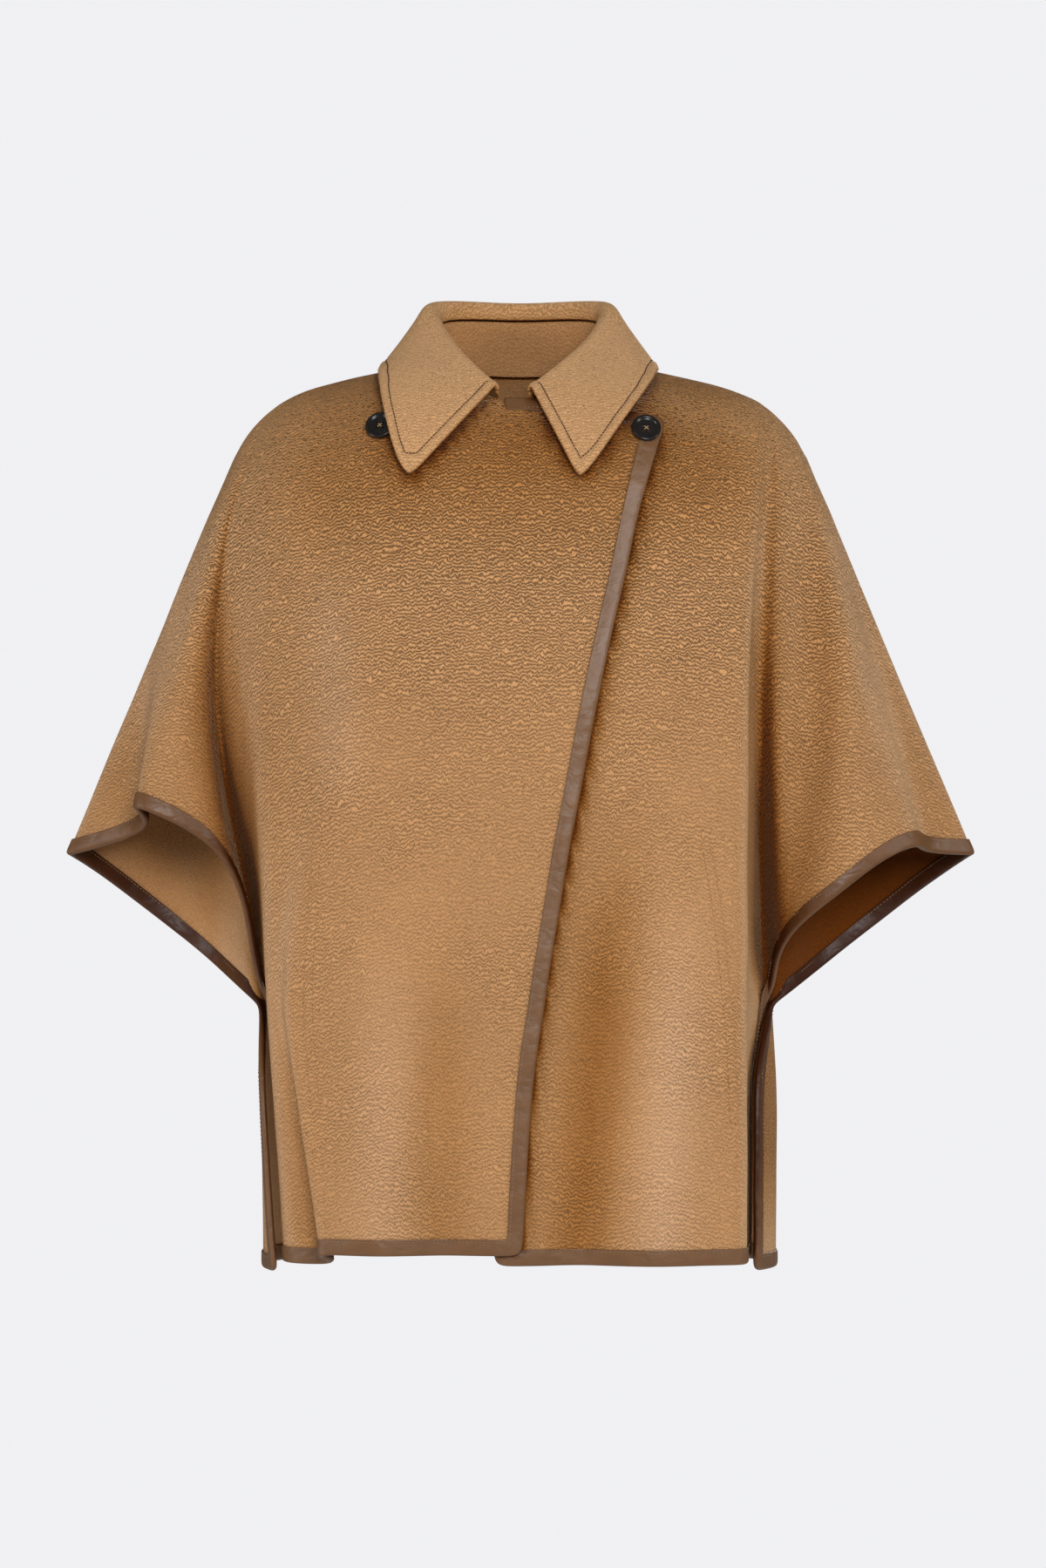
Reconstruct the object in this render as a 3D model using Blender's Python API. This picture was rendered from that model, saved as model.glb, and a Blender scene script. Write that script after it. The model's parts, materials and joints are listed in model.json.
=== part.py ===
"""Wool cape with a shirt collar, wrapped fronts and leather-bound edges, in the hollow form it has when worn.

+X is the wearer's left, -Y the front and +Z up. The origin is the middle of the neck opening, level with the
side neck points. Sizes are in millimetres, and a mesh is turned into metres when it is made. The cloth is cut as
two fronts and a back, each in one with its half sleeves, a collar fall and a collar stand. Each piece is a sheet
through fall lines, which run from the neck and shoulder to the hem, or from the shoulder tip to the cuff.
"""

import math
from collections import namedtuple

import bmesh
import bpy
import numpy as np
from mathutils import Matrix, Vector
from mathutils.bvhtree import BVHTree

METRE = 0.001
CLOTH = 2.4  # wool of the fronts and the back
COLLAR_CLOTH = 3.4  # two layers
LEATHER = 1.0
GAP, BIND_GAP = 0.3, 0.45  # between sewn pieces, and under the binding, which has to pass round folds
BINDING = 11.5  # width of the leather binding on each face, and of the grid cells under it
SEAM = 0.2  # from a panel to the shoulder and over-arm seam, which lies in the plane y = 0
SEAM_STRIP = 3.0

NECK_WIDTH, NECK_FRONT, NECK_BACK, NECK_POINT_Z = 82.0, 70.0, 62.0, -4.5
BACK_NECK_RISE = 14.0
SHOULDER_SLOPE, SHOULDER_ROUND = 0.22, 100.0
CUFF_X, CUFF_Z, OVERARM_SLOPE = 362.5, -396.0, 2.366  # the over-arm fold's foot, and its slope
CHEST_Z, ELBOW_Z, JOINT_Z, HIP_Z = -130.0, -260.0, -515.0, -570.0
BACK_FULLNESS, FULL_BACK_WIDTH = 0.62, 150.0
TOP_EDGE_Z, TOP_EDGE_SLOPE = -40.5, 0.15  # the fronts' bound top edge, from the centre outwards
OVERLAP, OVERLAP_END = 6.0, 120.0  # from the under front to the upper front, and where that fades out
OVERLAP_TOP, OVERLAP_FADE_DOWN, OVERLAP_FADE_ACROSS = 5.0, 35.0, 60.0
STRAIGHT_DEPTH = 60.0  # a fall line nearer than this to the over-arm fold's plane drops along it
NECK_TURN, NECK_SHARE, LEAST_TURN = 0.5, 0.16, 0.05  # how a line that starts at the neckline takes its rows
LEAST_STEP = 1e-6

BUTTON_RADIUS, BUTTON_RIM, BUTTON_THICK, BUTTON_HOLE, HOLE_PITCH = 11.5, 2.6, 3.6, 1.1, 2.6
BUTTON_SIDES, BUTTON_ROUND, BUTTON_DISH = 24, 0.8, 1.1
WELT_WIDTH, WELT_THICK = 7.0, 1.2
WELT_SEAT = CLOTH / 2 + GAP + WELT_THICK / 2 + 0.2

# A fall line: its distance from the centre at the top, then (distance, depth) at each level, with the height
# too at the cuff or joint and at the hem. A sleeve line has no hip or hem. cells counts the grid's cells from
# the line before it.
Fall = namedtuple("Fall", "name top chest elbow cuff hip hem cells")
LEFT_FRONT_FALLS = (
    Fall("fold edge", 187, (181, 80), (177, 96), (176.5, 101, -515), (176.5, 101), (176.5, 99, -714.5), 1),
    Fall("return", 192.5, (187, 73), (179, 78), (176.5, 46, -515), (175.5, 68), (175.5, 66, -714.5), 2),
    Fall("underarm", 198, (191, 65), (186, 58), (194.5, 2.5, -517), (183, 28), (182, 30, -714.5), 1),
    Fall("fold floor", 200.5, (197, 62), (192, 57), (201, 3.5, -509), None, None, 1),
    Fall("inner ridge", 204.5, (204, 62), (206, 66), (205, 38, -472), None, None, 2),
    Fall("inner valley", 208.5, (226, 46), (228, 44), (218, 50, -453), None, None, 1),
    Fall("sleeve face", 213.5, (239, 41), (261, 60), (255, 61, -423), None, None, 2),
    Fall("outer face", 217.5, (246, 27), (275, 44), (290, 53, -395), None, None, 1),
    Fall("ridge", 220.5, (250, 14), (283, 27), (320, 37, -386), None, None, 1),
    Fall("step", 222.5, (250.5, 9), (287, 17), (317, 22, -393), None, None, 1),
)
RIGHT_FRONT_FALLS = (
    Fall("pleat crest", 150, (150, 84), (150, 98), (186, 86, -515), (181, 93), (161, 103, -707), 1),
    Fall("pleat valley", 166, (172, 77), (174, 90), (184, 77, -515), (168, 81), (141, 87, -715), 1),
    Fall("side", 186, (202, 62), (208, 76), (203, 60, -515), (199, 62), (183, 74, -716), 2),
    Fall("return", 193, (214, 54), (220, 60), (194, 34, -515), (193, 45), (187, 55, -716), 1),
    Fall("underarm", 200, (227, 46), (238, 42), (201.5, 2.5, -517), (191, 26), (183, 34, -716), 1),
    Fall("fold floor", 203, (230, 41), (243, 38), (208.5, 3.5, -508), None, None, 1),
    Fall("inner face", 207, (236, 42), (252, 53), (216, 36, -440), None, None, 2),
    Fall("middle face", 211, (241, 36), (262, 58), (232, 54, -396), None, None, 1),
    Fall("sleeve face", 215.5, (245, 28), (273, 58), (288, 74, -362), None, None, 2),
    Fall("ridge", 219.5, (249, 14), (290, 38), (314, 73, -353), None, None, 1),
    Fall("under ridge", 222.5, (250.5, 9), (293, 22), (284, 39, -372), None, None, 1),
)
BACK_SIDE_FALLS = (
    Fall("flank", 184, (184, 82), (182, 94), (192, 62, -517), (204, 48), (203, 52, -727), 1),
    Fall("side", 191, (196, 73), (194, 82), (203, 32, -518), (208, 6), (208, 8, -727), 1),
)
BACK_LEFT_FALLS = (
    Fall("underarm", 198, (206, 64), (207, 62), (200.5, 1.5, -518), (187, -52), (186, -57, -724), 2),
    Fall("fold floor", 202, (211, 61), (213, 61), (208, 4, -513), None, None, 1),
)
BACK_RIGHT_FALLS = (
    Fall("underarm", 198, (206, 64), (207, 62), (207.5, 1.5, -518), (205, -48), (194, -60, -724), 2),
    Fall("fold floor", 202, (211, 61), (213, 61), (215, 4, -513), None, None, 1),
)
BACK_SLEEVE_FALLS = (
    Fall("inner face", 207, (222, 56), (238, 67), (252, 56, -483), None, None, 2),
    Fall("sleeve face", 213, (237, 44), (268, 62), (300, 56, -445), None, None, 2),
    Fall("outer face", 220, (247, 21), (295, 36), (341, 30, -412), None, None, 2),
)
LEFT_HEM_Z, RIGHT_HEM_Z = -714.5, -706.0

NORMAL_ROUNDS, NORMAL_PUSH, LEAST_LEAN = 40, 0.15, 0.7

# Depth of a hanging face in the middle, and the place where it turns to the side, from the chest down.
Level = namedtuple("Level", "z centre left_x left_y right_x right_y")
FRONT_FACE = (
    Level(CHEST_Z, 98, 181, 80, 202, 62),
    Level(ELBOW_Z, 111, 177, 96, 208, 76),
    Level(JOINT_Z, 112, 176.5, 101, 190, 84),
    Level(-717.0, 109, 176.5, 99, 162, 102),
)
BACK_FACE = (
    Level(CHEST_Z, 98, 184, 82, 184, 82),
    Level(ELBOW_Z, 114, 182, 94, 182, 94),
    Level(JOINT_Z, 119, 192, 62, 192, 62),
    Level(-728.0, 114, 203, 52, 203, 52),
)
FACE_ROUNDNESS = 3.0

# The upper front's closing edge, from its corner at the left shoulder to the hem, as (height, x).
CLOSING_EDGE = ((-57, 113.3), (-84, 107.7), (-138, 88), (-242, 65.2), (-476, 22.7), (-641, 2.2), (-715, 0))
UNDER_SHARE, UNDER_SHIFT = 0.75, 19.0  # the under front's edge leans less, and its foot lies past the centre

# Soft troughs and ridges of the hanging fronts, each between two points of the face.
SoftFold = namedtuple("SoftFold", "x_top z_top x_foot z_foot width depth")
SOFT_FOLDS = (
    SoftFold(80, -330, 42, -735, 24, -10),
    SoftFold(128, -380, 108, -735, 26, 7),
    SoftFold(-106, -430, -110, -735, 24, 5),
    SoftFold(-60, -430, -58, -735, 20, -4.5),
    SoftFold(-155, -150, -140, -330, 20, 4.5),
)

# Where each front's face lines start at the top, from the closing edge outwards. The first BOUND of them start
# on the bound top edge, and the rest on the neckline and the shoulder seam.
UPPER_TOPS, UPPER_BOUND = (-113.3, -98, -68, -38, -12, 14, 24, 46, 67, 79, 82, 100, 118, 135), 6
UNDER_TOPS, UNDER_BOUND = (-104, -91, -64, -34, -6, 8, 26, 47, 67, 79, 82, 101, 121, 142, 165), 5
BACK_TOPS = (0, 28, 54, 75, 82, 107, 133, 159)

# The collar from its right front to its left front: roll line and free edge of the fall.
Station = namedtuple("Station", "name roll edge radius turn bulge cells")
COLLAR = (
    Station("right front", (-21, -73, -27), (-87, -107, -103), 3, 2, 7, 0),
    Station("right point", (-30, -66, -20), (-97, -104, -85), 3.5, 3.5, 6, 2),
    Station("right chest", (-47, -50, -4), (-106, -91, -52), 5, 6, 4, 2),
    Station("right shoulder", (-64, -21, 17), (-112, -60, -21), 6.5, 8, 1, 2),
    Station("right side", (-80, 9, 43), (-112, -10, -7), 8, 8, 0, 2),
    Station("right back", (-73, 42, 51.5), (-102, 48, -14), 8, 8, 1, 3),
    Station("centre back", (0, 74, 52), (0, 88, -29), 7, 8, 3, 3),
    Station("left back", (73, 42, 51.5), (101, 48, -14), 8, 8, 1, 3),
    Station("left side", (78, 9, 43), (110, -10, -7), 8, 8, 0, 3),
    Station("left shoulder", (62, -23, 17), (103, -62, -23), 6.5, 8, 1, 2),
    Station("left chest", (40, -52, -4), (81, -95, -55), 5, 6, 4, 2),
    Station("left point", (20, -68, -21), (61, -107, -85), 3.5, 3.5, 6, 2),
    Station("left front", (9, -75, -28), (46, -111, -105), 3, 2, 7, 2),
)
ROLL_ANGLES = (2.4, 1.57, 0.8)
STAND_OVERLAP, STAND_INSET, STAND_BACKSET = 3.0, 3.4, 1.8
STAND_GAP = 0.9
STAND_SIDE, STAND_KNEE = 16.0, 0.2  # where the stand steps back for the overlap, and its upright share
FALL_SHARES = (0.06, 0.2, 0.4, 0.6, 0.8, 0.92, 1.0)

Button = namedtuple("Button", "name x z seat")
BUTTONS = (Button("button_left", 98.0, -64.0, 3.1), Button("button_right", -109.5, -61.0, 1.5))

Pocket = namedtuple("Pocket", "name side route")
POCKETS = (
    Pocket("pocket_welt_left", 1, ((-384, 144), (-430, 152), (-500, 160), (-560, 165), (-606, 167))),
    Pocket("pocket_welt_right", -1, ((-372, -158), (-443, -163), (-511, -166), (-560, -163), (-600, -159))),
)
WELT_CELLS = 12

CUFF_STAGE = 3
ROWS = (
    [(0, share) for share in (0.0, 0.035, 0.26, 0.45, 0.64, 0.82)]
    + [(1, share) for share in (0.0, 0.34, 0.67)]
    + [(2, share) for share in (0.0, 0.2, 0.42, 0.64, 0.84)]
    + [(CUFF_STAGE, share) for share in (0.0, 0.42)]
    + [(4, share) for share in (0.0, 0.27, 0.54, 0.8, 1.0)]
)
CUFF_ROW = ROWS.index((CUFF_STAGE, 0.0)) + 1  # with the row that is put in before the cuff

# Section of the binding round the cloth's edge: (distance in from the edge, height above the cloth's middle).
BIND_IN = CLOTH / 2 + BIND_GAP
BIND_OUT = BIND_IN + LEATHER
BIND_SECTION = (
    (BINDING, BIND_OUT), (-0.2, BIND_OUT), (-1.7, BIND_OUT / 2), (-1.7, -BIND_OUT / 2), (-0.2, -BIND_OUT),
    (BINDING, -BIND_OUT), (BINDING, -BIND_IN), (-0.6, -BIND_IN), (-0.6, BIND_IN), (BINDING, BIND_IN),
)


def smooth(t):
    t = min(max(t, 0.0), 1.0)
    return t * t * (3 - 2 * t)


def lerp(a, b, t):
    return a + (b - a) * t


def pchip(at, knots, values, first_slope=None):
    """Smooth curve through the values that never swings past them, for knots that fall from first to last."""
    steps = np.diff(knots)
    rises = np.diff(values) / steps
    slopes = np.empty(len(values))
    slopes[0] = rises[0] if first_slope is None else first_slope
    slopes[-1] = rises[-1]
    for i in range(1, len(values) - 1):
        if rises[i - 1] * rises[i] <= 0:
            slopes[i] = 0
            continue
        before = 2 * steps[i] + steps[i - 1]
        after = steps[i] + 2 * steps[i - 1]
        slopes[i] = (before + after) / (before / rises[i - 1] + after / rises[i])
    i = int(np.clip(np.searchsorted(-np.asarray(knots, float), -at) - 1, 0, len(steps) - 1))
    t = (at - knots[i]) / steps[i]
    return (
        (1 + 2 * t) * (1 - t) ** 2 * values[i]
        + t * (1 - t) ** 2 * steps[i] * slopes[i]
        + t * t * (3 - 2 * t) * values[i + 1]
        + t * t * (t - 1) * steps[i] * slopes[i + 1]
    )


def through(points, cells):
    """Centripetal Catmull-Rom curve through the points, with cells[i] steps to point i from the last."""
    points = np.asarray(points, float)
    ends = np.vstack([2 * points[0] - points[1], points, 2 * points[-1] - points[-2]])
    made = [points[0]]
    for i in range(1, len(points)):
        p0, p1, p2, p3 = ends[i - 1 : i + 3]
        steps = [max(np.linalg.norm(b - a), LEAST_STEP) ** 0.5 for a, b in ((p0, p1), (p1, p2), (p2, p3))]
        t0, t1, t2, t3 = np.cumsum([0.0, *steps])
        for step in range(1, cells[i] + 1):
            t = lerp(t1, t2, step / cells[i])
            a1 = lerp(p0, p1, (t - t0) / (t1 - t0))
            a2 = lerp(p1, p2, (t - t1) / (t2 - t1))
            a3 = lerp(p2, p3, (t - t2) / (t3 - t2))
            b1 = lerp(a1, a2, (t - t0) / (t2 - t0))
            b2 = lerp(a2, a3, (t - t1) / (t3 - t1))
            made.append(lerp(b1, b2, (t - t1) / (t2 - t1)))
    return np.array(made)


# The general figure's form: shoulder line and hanging faces.


def shoulder_arc():
    """Start, end and centre of the arc between the shoulder seam and the over-arm fold."""
    lean, steep = math.atan(SHOULDER_SLOPE), math.atan(OVERARM_SLOPE)
    foot = CUFF_Z + OVERARM_SLOPE * CUFF_X
    vertex_x = (foot - NECK_POINT_Z - SHOULDER_SLOPE * NECK_WIDTH) / (OVERARM_SLOPE - SHOULDER_SLOPE)
    vertex_z = foot - OVERARM_SLOPE * vertex_x
    reach = SHOULDER_ROUND * math.tan((steep - lean) / 2)
    start = (vertex_x - reach * math.cos(lean), vertex_z + reach * math.sin(lean))
    end = (vertex_x + reach * math.cos(steep), vertex_z - reach * math.sin(steep))
    centre = (start[0] - SHOULDER_ROUND * math.sin(lean), start[1] - SHOULDER_ROUND * math.cos(lean))
    return start, end, centre


ARC_START, ARC_END, ARC_CENTRE = shoulder_arc()


def shoulder_z(x):
    """Height of the shoulder seam and the over-arm fold at x."""
    x = abs(x)
    if x <= ARC_START[0]:
        return NECK_POINT_Z - SHOULDER_SLOPE * max(x - NECK_WIDTH, 0.0)
    if x <= ARC_END[0]:
        return ARC_CENTRE[1] + math.sqrt(SHOULDER_ROUND**2 - (x - ARC_CENTRE[0]) ** 2)
    return ARC_END[1] - OVERARM_SLOPE * (x - ARC_END[0])


def soft_depth(x, z):
    """How far the soft folds push the face of the fronts out at x and z."""
    total = 0.0
    for fold in SOFT_FOLDS:
        down = (z - fold.z_top) / (fold.z_foot - fold.z_top)
        middle = lerp(fold.x_top, fold.x_foot, down)
        strength = smooth(2 * down) * smooth(4 * (1.2 - down))
        total += fold.depth * strength * math.exp(-(((x - middle) / fold.width) ** 2))
    return total


def face_depth(face, x, z):
    """Distance of a hanging face from the plane of the shoulders, at x and at z below the chest."""
    heights = [level.z for level in face]
    side_x, side_y = ("left_x", "left_y") if x > 0 else ("right_x", "right_y")
    centre = pchip(z, heights, [level.centre for level in face], 0)
    edge = pchip(z, heights, [getattr(level, side_y) for level in face], 0)
    reach = pchip(z, heights, [getattr(level, side_x) for level in face])
    depth = lerp(centre, edge, min(abs(x) / reach, 1.0) ** FACE_ROUNDNESS)
    return depth + (soft_depth(x, z) if face is FRONT_FACE else 0.0)


def crown(face, x):
    """Top of the form over x, and how square the yoke is there: the back of the neck is higher and fuller."""
    if face is FRONT_FACE:
        return shoulder_z(x), 1.0
    rise = BACK_NECK_RISE * max(1 - (x / NECK_WIDTH) ** 2, 0.0)
    return shoulder_z(x) + rise, lerp(BACK_FULLNESS, 1.0, smooth(abs(x) / FULL_BACK_WIDTH))


def yoke_point(face, x, turn):
    """Depth and height of the form over the shoulder: turn is 0 at the seam, a right angle at the chest."""
    top, fullness = crown(face, x)
    return face_depth(face, x, CHEST_Z) * math.sin(turn) ** fullness, lerp(top, CHEST_Z, 1 - math.cos(turn))


def neck_turn(face, x, reach):
    """Where the neckline crosses the fall line at x."""
    out = reach * math.sqrt(max(1 - (x / NECK_WIDTH) ** 2, 0.0))
    return math.asin(min(out / face_depth(face, x, CHEST_Z), 1.0) ** (1 / crown(face, x)[1]))


def top_edge_turn(x):
    """Where the fronts' bound top edge crosses the fall line at x."""
    top = shoulder_z(x)
    return math.acos(1 - (top - TOP_EDGE_Z + TOP_EDGE_SLOPE * abs(x)) / (top - CHEST_Z))


def front_lift(x, z):
    """How far the upper front lies outside the form, which it does where the fronts overlap."""
    below_neck = smooth((-z - OVERLAP_TOP) / OVERLAP_FADE_DOWN)
    return OVERLAP * below_neck * (1 - smooth((-x - OVERLAP_END) / OVERLAP_FADE_ACROSS))


def no_lift(x, z):
    return 0.0


# Grids of points. A row runs from the closing edge, or the right side of the back, to the other side.


def fall_point(line, stage, share):
    """Point of a fall line as (distance, depth, height)."""
    top_z = shoulder_z(line.top)
    if (stage, share) == ROWS[1]:
        return line.top, SEAM + SEAM_STRIP, top_z
    if stage == 0:
        turn = share * math.pi / 2
        depth = line.chest[1]
        straight = max(0.0, 1 - depth / STRAIGHT_DEPTH)
        drop = lerp(1 - math.cos(turn), share, straight)
        out = SEAM + (depth - SEAM) * math.sin(turn)
        return lerp(line.top, line.chest[0], drop), out, lerp(top_z, CHEST_Z, drop)
    levels = [(*line.chest, CHEST_Z), (*line.elbow, ELBOW_Z), line.cuff]
    if line.hem:
        levels += [(*line.hip, HIP_Z), line.hem]
    xs, ys, knots = zip(*levels)
    z = knots[stage - 1] if share == 0 else lerp(knots[stage - 1], knots[stage], share)
    return pchip(z, (top_z, *knots), (line.top, *xs)), pchip(z, knots, ys, 0), z


def face_point(face, top, xs, start, hem_z, lift, stage, share):
    """Point of a fall line on a hanging face, whose x is xs at the chest, elbow, joint, hip and hem."""
    if stage == 0:
        if share == ROWS[1][1]:
            if start == 0:
                return top, SEAM + SEAM_STRIP, crown(face, top)[0]
            share = lerp(share, NECK_SHARE, smooth(start / NECK_TURN))
        turn = lerp(start, math.pi / 2, share)
        x = lerp(top, xs[0], share if start > LEAST_TURN else 1 - math.cos(turn))
        depth, z = yoke_point(face, x, turn)
        out = lift(x, z)
        return x, max(depth, SEAM) + out * math.sin(turn), z + out * math.cos(turn)
    knots = (CHEST_Z, ELBOW_Z, JOINT_Z, HIP_Z, hem_z)
    z = knots[stage - 1] if share == 0 else lerp(knots[stage - 1], knots[stage], share)
    x = pchip(z, (0.0, *knots), (top, *xs))
    return x, face_depth(face, x, z) + lift(x, z), z


def overarm_points(stage, share):
    """The last two points of a row: beside the over-arm seam, and on it."""
    if stage == 0:
        z = lerp(ARC_END[1], CHEST_Z, share)
    else:
        knots = (CHEST_Z, ELBOW_Z, CUFF_Z)
        z = knots[stage - 1] if share == 0 else lerp(knots[stage - 1], knots[stage], share)
    x = ARC_END[0] + (ARC_END[1] - z) / OVERARM_SLOPE
    if (stage, share) == ROWS[0]:
        return (x - 2, SEAM, shoulder_z(x - 2)), (x, SEAM, z)
    return (x, SEAM + SEAM_STRIP, z), (x, SEAM, z)


def finished_row(face_points, falls, stage, share):
    """A row from its points on the face outwards, with one more point beside the underarm line."""
    below = stage > CUFF_STAGE or (stage == CUFF_STAGE and share > 0)
    points, cells = list(face_points), [1] * len(face_points)
    underarm = 0
    for line in falls:
        if below and line.hem is None:
            break
        at_cuff = line.hem is None and stage == CUFF_STAGE
        points.append(line.cuff if at_cuff else fall_point(line, stage, share))
        cells.append(line.cells)
        if line.hem:
            underarm = sum(cells) - 1
    if not below:
        points += overarm_points(stage, share)
        cells += [2, 1]
    row = through(points, cells)
    return np.insert(row, underarm, towards(row[underarm], row[underarm - 1]), axis=0)


def towards(edge, inner):
    """Points one edge cell in from an edge."""
    apart = np.linalg.norm(inner - edge, axis=-1, keepdims=True)
    return edge + (inner - edge) * np.minimum(BINDING / apart, 0.9)


def finished_grid(rows, both_sides, bound):
    """Grid of equal rows, empty beyond a short row, with a row beside the cuff, the hem and the top edge."""
    grid = np.full((len(rows), len(rows[0]), 3), np.nan)
    for r, row in enumerate(rows):
        first = (len(rows[0]) - len(row)) // 2 if both_sides else 0
        grid[r, first : first + len(row)] = row
    grid[1, :bound] = towards(grid[0, :bound], grid[2, :bound])
    cuff = CUFF_ROW - 1
    near_cuff = towards(grid[cuff], grid[cuff - 1])
    near_hem = towards(grid[-1], grid[-2])
    return np.concatenate([grid[:cuff], near_cuff[None], grid[cuff:-1], near_hem[None], grid[-1:]])


def level_reaches(line):
    """Distances of a fall line from the centre at the chest, elbow, joint, hip and hem."""
    return [at[0] for at in (line.chest, line.elbow, line.cuff, line.hip, line.hem)]


def front_grid(side):
    """Grid of a front from its closing edge to the over-arm seam: side 1 is the left front, -1 the right."""
    upper = side < 0
    falls = RIGHT_FRONT_FALLS if upper else LEFT_FRONT_FALLS
    tops, bound = (UPPER_TOPS, UPPER_BOUND) if upper else (UNDER_TOPS, UNDER_BOUND)
    hem_z = RIGHT_HEM_Z if upper else LEFT_HEM_Z
    heights, edge_xs = zip(*CLOSING_EDGE)
    side_line = falls[0]
    reaches = level_reaches(side_line)
    edges = [pchip(z, heights, edge_xs) for z in (CHEST_Z, ELBOW_Z, JOINT_Z, HIP_Z, hem_z)]
    edges = [-x if upper else -UNDER_SHARE * x - UNDER_SHIFT for x in edges]
    lines = []
    for i, top in enumerate(tops):
        xs = [lerp(edge, reach, i / len(tops)) for edge, reach in zip(edges, reaches)]
        if i == 1:
            xs = [edge + BINDING for edge in edges]
        if i < bound:
            start = top_edge_turn(top)
        else:
            start = neck_turn(FRONT_FACE, top * side, NECK_FRONT) if top < NECK_WIDTH else 0.0
        lines.append((top * side, [x * side for x in xs], start))

    def lift(x, z):
        return front_lift(x, z) if upper else 0.0

    rows = []
    for stage, share in ROWS:
        points = []
        for top, xs, start in lines:
            x, y, z = face_point(FRONT_FACE, top, xs, start, hem_z, lift, stage, share)
            points.append((x * side, y, z))
        rows.append(finished_row(points, falls, stage, share) * (side, -1, 1))
    return finished_grid(rows, False, bound)


def back_grid():
    """Grid of the back from its right over-arm seam to its left one."""
    flank = BACK_SIDE_FALLS[0]
    left_falls = BACK_SIDE_FALLS + BACK_LEFT_FALLS + BACK_SLEEVE_FALLS
    right_falls = BACK_SIDE_FALLS + BACK_RIGHT_FALLS + BACK_SLEEVE_FALLS
    reaches = level_reaches(flank)
    rows = []
    for stage, share in ROWS:
        points = []
        for i, top in enumerate(BACK_TOPS):
            xs = [reach * i / len(BACK_TOPS) for reach in reaches]
            start = neck_turn(BACK_FACE, top, NECK_BACK) if top < NECK_WIDTH else 0.0
            points.append(face_point(BACK_FACE, top, xs, start, flank.hem[2], no_lift, stage, share))
        left = finished_row(points, left_falls, stage, share)
        right = finished_row(points, right_falls, stage, share)
        rows.append(np.vstack([right[:0:-1] * (-1, 1, 1), left]))
    return finished_grid(rows, True, 0)


# Meshes.


def clear_scene():
    for obj in list(bpy.data.objects):
        bpy.data.objects.remove(obj)


def material(name, colour, roughness):
    made = bpy.data.materials.new(name)
    made.use_nodes = True
    shader = made.node_tree.nodes["Principled BSDF"]
    shader.inputs["Base Color"].default_value = (*colour, 1)
    shader.inputs["Roughness"].default_value = roughness
    return made


def new_object(name, points, faces, finish, collection):
    """Object of the points, which are in millimetres, with its faces turned to agree."""
    mesh = bpy.data.meshes.new(name)
    mesh.from_pydata([tuple(float(c) * METRE for c in point) for point in points], [], faces)
    mesh.materials.append(finish)
    mesh.shade_smooth()
    obj = bpy.data.objects.new(name, mesh)
    collection.objects.link(obj)
    return obj


def turn_outward(obj):
    shape = bmesh.new()
    shape.from_mesh(obj.data)
    bmesh.ops.recalc_face_normals(shape, faces=shape.faces)
    shape.to_mesh(obj.data)
    shape.free()


def wall_normals(points, triangles):
    """Step from the middle of the cloth to a face one unit away, at each point.

    It leans as little as it can from any triangle round the point, so that a sharp fold keeps its thickness.
    """
    around = [[] for _ in points]
    for corners in triangles:
        p, q, s = (points[i] for i in corners)
        side = np.cross(q - p, s - p)
        side /= np.linalg.norm(side)
        for i in corners:
            around[i].append(side)
    steps = np.empty((len(points), 3))
    for i, sides in enumerate(around):
        sides = np.array(sides)
        step = sides.sum(axis=0)
        for round_index in range(NORMAL_ROUNDS):
            step /= np.linalg.norm(step)
            step = step + sides[np.argmin(sides @ step)] * NORMAL_PUSH / (1 + round_index / 8)
        if abs(points[i][1]) < SEAM + 0.01:
            step[1] = 0
        step /= np.linalg.norm(step)
        steps[i] = step / max((sides @ step).min(), LEAST_LEAN)
    return steps


def wall(points, steps, triangles, thickness):
    """Points and faces of the closed wall on both sides of a sheet."""
    free = {}
    for triangle in triangles:
        for edge in zip(triangle, triangle[1:] + triangle[:1]):
            if free.pop(edge[::-1], None) is None:
                free[edge] = True
    count = len(points)
    faces = list(triangles) + [(a + count, c + count, b + count) for a, b, c in triangles]
    for a, b in free:
        faces += [(b, a, a + count), (b, a + count, b + count)]
    return np.vstack([points + steps * thickness / 2, points - steps * thickness / 2]), faces


def grid_triangles(grid, across=()):
    """Index of each grid point that exists, and two triangles a cell, split the other way in across."""
    index, triangles = {}, []
    for r, c in np.argwhere(~np.isnan(grid[..., 0])):
        index[int(r), int(c)] = len(index)
    for r, c in index:
        corners = [index.get(key) for key in ((r, c), (r + 1, c), (r + 1, c + 1), (r, c + 1))]
        if None in corners:
            continue
        p, q, s, t = corners
        triangles += [(q, s, t), (q, t, p)] if (r, c) in across else [(p, q, s), (p, s, t)]
    return index, triangles


def sheet(name, grid, outward, thickness, finish, collection, across=()):
    """Makes the cloth over a grid of points, whose first cell faces outward.

    It gives the grid of normals, and whether the grid runs the other way round.
    """
    index, triangles = grid_triangles(grid, across)
    points = np.array([grid[key] for key in index])
    p, q, s = points[list(triangles[0])]
    turned = np.dot(np.cross(q - p, s - p), outward) < 0
    if turned:
        triangles = [(a, c, b) for a, b, c in triangles]
    steps = wall_normals(points, triangles)
    new_object(name, *wall(points, steps, triangles, thickness), finish, collection)
    normals = np.full(grid.shape, np.nan)
    for key, i in index.items():
        normals[key] = steps[i]
    return normals, turned


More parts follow.
